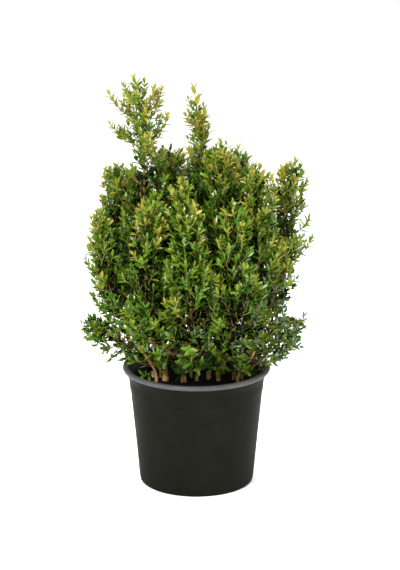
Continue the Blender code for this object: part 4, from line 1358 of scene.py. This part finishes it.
def leader_of(crown, name, foliage, rng):
    """A mass's own stem: from just inside its limb to where its end leaves reach the tip.

    The first part of the axis has its inner controls at that share of the way between the
    axis's controls, and at that share between two such places.
    """
    axis = crown.axes[name]
    large = LARGE_TIP.get(name, USUAL_TIP)[0]
    stop = 1.0 - foliage.leaf_length * 0.72 * large / curve_length(axis)
    near, far = (axis[i] + (axis[i + 1] - axis[i]) * stop for i in (0, 1))
    start = axis[0] - unit(axis[1] - axis[0]) * LEADER_SINK
    curve = np.stack((start, near, near + (far - near) * stop, on_curve(axis, np.array(stop))))[None]
    foot_radius = crown.feeding[name].radii[1] * STOUT.get(name, 1.0)
    return Shoots(curve, (foot_radius, LEADER_END), 0.45, any_turn(rng, 1),
                  np.array((0.10,)), np.array((1.12,)) * large)


def wisps_of(crown, name, rng):
    """Single shoots from a mass's stem to given tips, as a list of none or one set of them."""
    rows = [row[1:] for row in WISPS if row[0] == name]
    if not rows:
        return []
    shares, tips, bare, tone = (np.array(column) for column in zip(*rows))
    start = on_curve(crown.axes[name], shares)
    flat, climb = (tips - start) * (1.0, 1.0, 0.0), (tips - start)[:, 2]
    reach = np.linalg.norm(flat, axis=1)
    slope = np.arctan2(climb, reach)
    curves = bent_shoots(start, unit(flat), UP, reach, climb, slope - 0.35, slope + 0.45)
    return [Shoots(curves, WISP_RADII, bare, any_turn(rng, len(rows)),
                   tone + rng.normal(0.0, 0.08, len(rows)), rng.uniform(0.85, 1.00, len(rows)))]


class BOXWOOD_OT_add_foliage(bpy.types.Operator):
    """Grow the twigs and leaves of every mass on from its limb."""

    bl_idname = "boxwood.add_foliage"
    bl_label = "Twigs and leaves"

    def execute(self, context):
        """For each mass: its stem, side twigs, small shoots, and leaves that stay in its space."""
        foliage, limb = context.scene.boxwood_foliage, context.scene.boxwood_limbs
        crown = Crown(context.scene.boxwood_pot)
        shape, greens = leaf_shape(foliage), leaf_materials(foliage)
        wood = (plain_material("old twig", limb.old_twig, 0.75, 0.2),
                plain_material("new twig", limb.new_twig, 0.6, 0.25))
        for name in MASSES:
            rng = draws_for(name)
            leader = leader_of(crown, name, foliage, rng)
            twigs = fitted(crown, name, side_twigs(crown, name, foliage, rng), foliage, TWIG_SHARES)
            smaller = [small_shoots(name, twigs, foliage, rng)]
            smaller[0] = fitted(crown, name, smaller[0], foliage, SHOOT_SHARES)
            if name in CLOTHED:
                clothing = stem_shoots(name, leader, foliage, rng)
                smaller.append(fitted(crown, name, clothing, foliage, SHOOT_SHARES))
            wisps = wisps_of(crown, name, rng)
            self.add_wood(name, leader, twigs, smaller, wisps, wood)
            self.add_greens(crown, name, (leader, twigs, *smaller), wisps, foliage, shape, greens, rng)
        return {"FINISHED"}

    def add_wood(self, name, leader, twigs, smaller, wisps, materials):
        """Stem, side twigs and small shoots of one mass as one piece."""
        skin = Skin()
        add_shoot_tubes(skin, leader, 34, 8, 0.92)
        add_shoot_tubes(skin, twigs, 8, 4, 0.70)
        for shoots in wisps:
            add_shoot_tubes(skin, shoots, 10, 4, 1.0)
        for shoots in smaller:
            add_shoot_tubes(skin, shoots, 4, 3, 0.0)
        settle(skin.piece("twigs_" + name, materials, 70.0), "bark", "foliage_" + name)

    def add_greens(self, crown, name, orders, wisps, foliage, shape, materials, rng):
        """Leaves of one mass as one piece, without those that would leave its space."""
        skin = Skin()
        for shoots in (*orders, *wisps):
            leaves = leaf_pairs(shoots, foliage, rng)
            # Depth in the mass darkens a leaf's tone: painted shade inside the mass.
            deep = crown.depth(name, leaves.tip)
            tones = tone_numbers(name, leaves, shoots.tone[leaves.spray], deep, rng)
            tones = rare_tones(tones, leaves.spray, shoots.curves[:, 3], rng)
            middle = 0.5 * (leaves.root + leaves.tip)
            keep = crown.holds(name, middle, SPACE_SLACK) & crown.holds(name, leaves.tip, SPACE_SLACK)
            add_leaves(skin, shape, leaves, keep | (shoots in wisps), tones)
        settle(skin.piece("leaves_" + name, materials), "leaves", "foliage_" + name)


def low_sprigs(crown, foliage, rng):
    """Sprigs at the golden angle up every stem and bough and the foot of every mass's stem.

    Few grow near the compost and more of them the higher they stand, from lower on the right,
    and fewer again inside the crown. None hides a pruned stub.
    """
    lines = [limb.curve(60) for limbs in crown.limbs.values() for limb in limbs]
    lines += [on_curve(axis, np.linspace(0.0, 0.26, 61)) for axis in crown.axes.values()]
    bases, alongs = [], []
    for line in lines:
        length = np.linalg.norm(np.diff(line, axis=0), axis=1).sum()
        rows = np.linspace(6, len(line) - 2, int(length / foliage.sprig_step)).astype(int)
        bases.append(line[rows])
        alongs.append(unit(line[rows + 1] - line[rows]))
    base, along = np.concatenate(bases), np.concatenate(alongs)
    count, height = len(base), base[:, 2]
    turn = np.arange(count) * GOLDEN_ANGLE + rng.normal(0.0, 0.2, count)
    lower = 0.006 + 0.011 * ramp(base[:, 0], -0.030, 0.040)
    chance = ramp(height + lower, 0.208, 0.030 - lower)
    chance = chance * (1.0 - 0.45 * ramp(height, 0.262, 0.020))
    keep = rng.uniform(size=count) < chance
    for foot, _, _ in STUBS.values():
        beside = np.hypot(base[:, 0] - foot[0], base[:, 1] - foot[1]) <= STUB_CLEAR
        keep &= ~(beside & (height <= STUB_SIGHT))
    size = rng.uniform(*SPRIG_SIZES, count)
    rise = np.radians(rng.uniform(10.0, 50.0, count))
    curves = sized_shoots(base, side_of(along, turn), unit(along + UP), size, rise, 0.25, 0.45)
    # The sprays' raised tone is partly young growth and partly painted light on sprigs that stand in
    # the crown's shade.
    shoots = Shoots(curves, SHOOT_RADII, 0.25, any_turn(rng, count),
                    rng.normal(0.20, 0.18, count), rng.uniform(0.95, 1.15, count))
    return shoots.kept(keep)


class BOXWOOD_OT_add_low_sprigs(bpy.types.Operator):
    """Grow the young sprigs low on the stems, among the bare wood."""

    bl_idname = "boxwood.add_low_sprigs"
    bl_label = "Low sprigs"

    def execute(self, context):
        """Short shoots that leave a limb sideways and bend up, with leaves clear of the pot."""
        foliage, pot = context.scene.boxwood_foliage, context.scene.boxwood_pot
        rng = np.random.default_rng(SEED + 7)
        shoots = low_sprigs(Crown(pot), foliage, rng)
        wood, greens = Skin(), Skin()
        add_shoot_tubes(wood, shoots, 6, 4, 0.3)
        materials = (bpy.data.materials["old twig"], bpy.data.materials["new twig"])
        settle(wood.piece("twigs_low_sprigs", materials, 70.0), "bark")
        leaves = leaf_pairs(shoots, foliage, rng)
        tones = tone_numbers("low_sprigs", leaves, shoots.tone[leaves.spray], 0.0, rng)
        radius, height = np.hypot(leaves.tip[:, 0], leaves.tip[:, 1]), leaves.tip[:, 2]
        keep = (height > LOWEST_LEAF) | (radius < pot.mouth_radius - 4.0 * pot.wall)
        keep &= height > pot.compost_top + 0.006
        add_leaves(greens, leaf_shape(foliage), leaves, keep, tones)
        materials = [bpy.data.materials["leaf " + tone + side]
                     for tone in TONES for side in ("", " underside")]
        settle(greens.piece("leaves_low_sprigs", materials), "leaves")
        return {"FINISHED"}


class BOXWOOD_OT_add_stage(bpy.types.Operator):
    """Make the floor, the lights, the white surroundings and the camera."""

    bl_idname = "boxwood.add_stage"
    bl_label = "Stage"

    def execute(self, context):
        """A plain floor, soft area lights that face the plant, and a camera with a long lens."""
        scene = context.scene
        stage = scene.boxwood_stage
        skin = Skin()
        skin.add(circles(FLOOR_RADIUS, round_angles(64), FLOOR_HEIGHT), [np.arange(64)[None]])
        floor = skin.piece("floor", [plain_material("floor", stage.floor, 0.8, 0.1)])
        world = bpy.data.worlds.new("white surroundings")
        world.use_nodes = True
        background = world.node_tree.nodes["Background"]
        background.inputs["Color"].default_value = (1.0, 1.0, 1.0, 1.0)
        background.inputs["Strength"].default_value = stage.sky
        scene.world = world
        target = Vector(LIGHT_TARGET)
        for name, place, size, share in LIGHTS:
            light = bpy.data.lights.new(name, "AREA")
            light.shape = "DISK"
            light.size = size
            light.energy = stage.key * share
            lamp = bpy.data.objects.new(name, light)
            lamp.location = place
            lamp.rotation_euler = (target - lamp.location).to_track_quat("-Z", "Y").to_euler()
            scene.collection.objects.link(lamp)
        camera = bpy.data.cameras.new("camera")
        camera.lens = stage.lens
        camera.sensor_width = 36.0
        shot = bpy.data.objects.new("camera", camera)
        back = Vector((0.0, -math.cos(stage.elevation), math.sin(stage.elevation)))
        shot.location = Vector((stage.aim_side, 0.0, stage.aim_height)) + back * stage.distance
        shot.rotation_euler = (-back).to_track_quat("-Z", "Y").to_euler()
        scene.collection.objects.link(shot)
        scene.camera = shot
        scene.view_settings.view_transform = "Standard"
        return {"FINISHED"}


SETTINGS = {
    "boxwood_pot": PotSettings,
    "boxwood_limbs": LimbSettings,
    "boxwood_foliage": FoliageSettings,
    "boxwood_stage": StageSettings,
}
OPERATORS = (
    BOXWOOD_OT_add_pot,
    BOXWOOD_OT_add_compost,
    BOXWOOD_OT_add_limbs,
    BOXWOOD_OT_add_stubs,
    BOXWOOD_OT_add_foliage,
    BOXWOOD_OT_add_low_sprigs,
    BOXWOOD_OT_add_stage,
)


class BOXWOOD_PT_builder(bpy.types.Panel):
    """Lists the plant's pieces in the sidebar."""

    bl_idname = "BOXWOOD_PT_builder"
    bl_label = "Potted Boxwood"
    bl_space_type = "VIEW_3D"
    bl_region_type = "UI"
    bl_category = "Boxwood"

    def draw(self, context):
        """One button for each operator."""
        column = self.layout.column(align=True)
        for operator in OPERATORS:
            column.operator(operator.bl_idname)


def register():
    """Registers the classes and puts the settings on the scene."""
    for name, settings in SETTINGS.items():
        bpy.utils.register_class(settings)
        setattr(bpy.types.Scene, name, bpy.props.PointerProperty(type=settings))
    for operator in OPERATORS:
        bpy.utils.register_class(operator)
    bpy.utils.register_class(BOXWOOD_PT_builder)


def unregister():
    """Takes the settings and the classes away again."""
    bpy.utils.unregister_class(BOXWOOD_PT_builder)
    for operator in reversed(OPERATORS):
        bpy.utils.unregister_class(operator)
    for name, settings in SETTINGS.items():
        delattr(bpy.types.Scene, name)
        bpy.utils.unregister_class(settings)


def main():
    register()
    bpy.ops.boxwood.add_pot()
    bpy.ops.boxwood.add_compost()
    bpy.ops.boxwood.add_limbs()
    bpy.ops.boxwood.add_stubs()
    bpy.ops.boxwood.add_foliage()
    bpy.ops.boxwood.add_low_sprigs()
    bpy.ops.boxwood.add_stage()


if __name__ == "__main__":
    main()
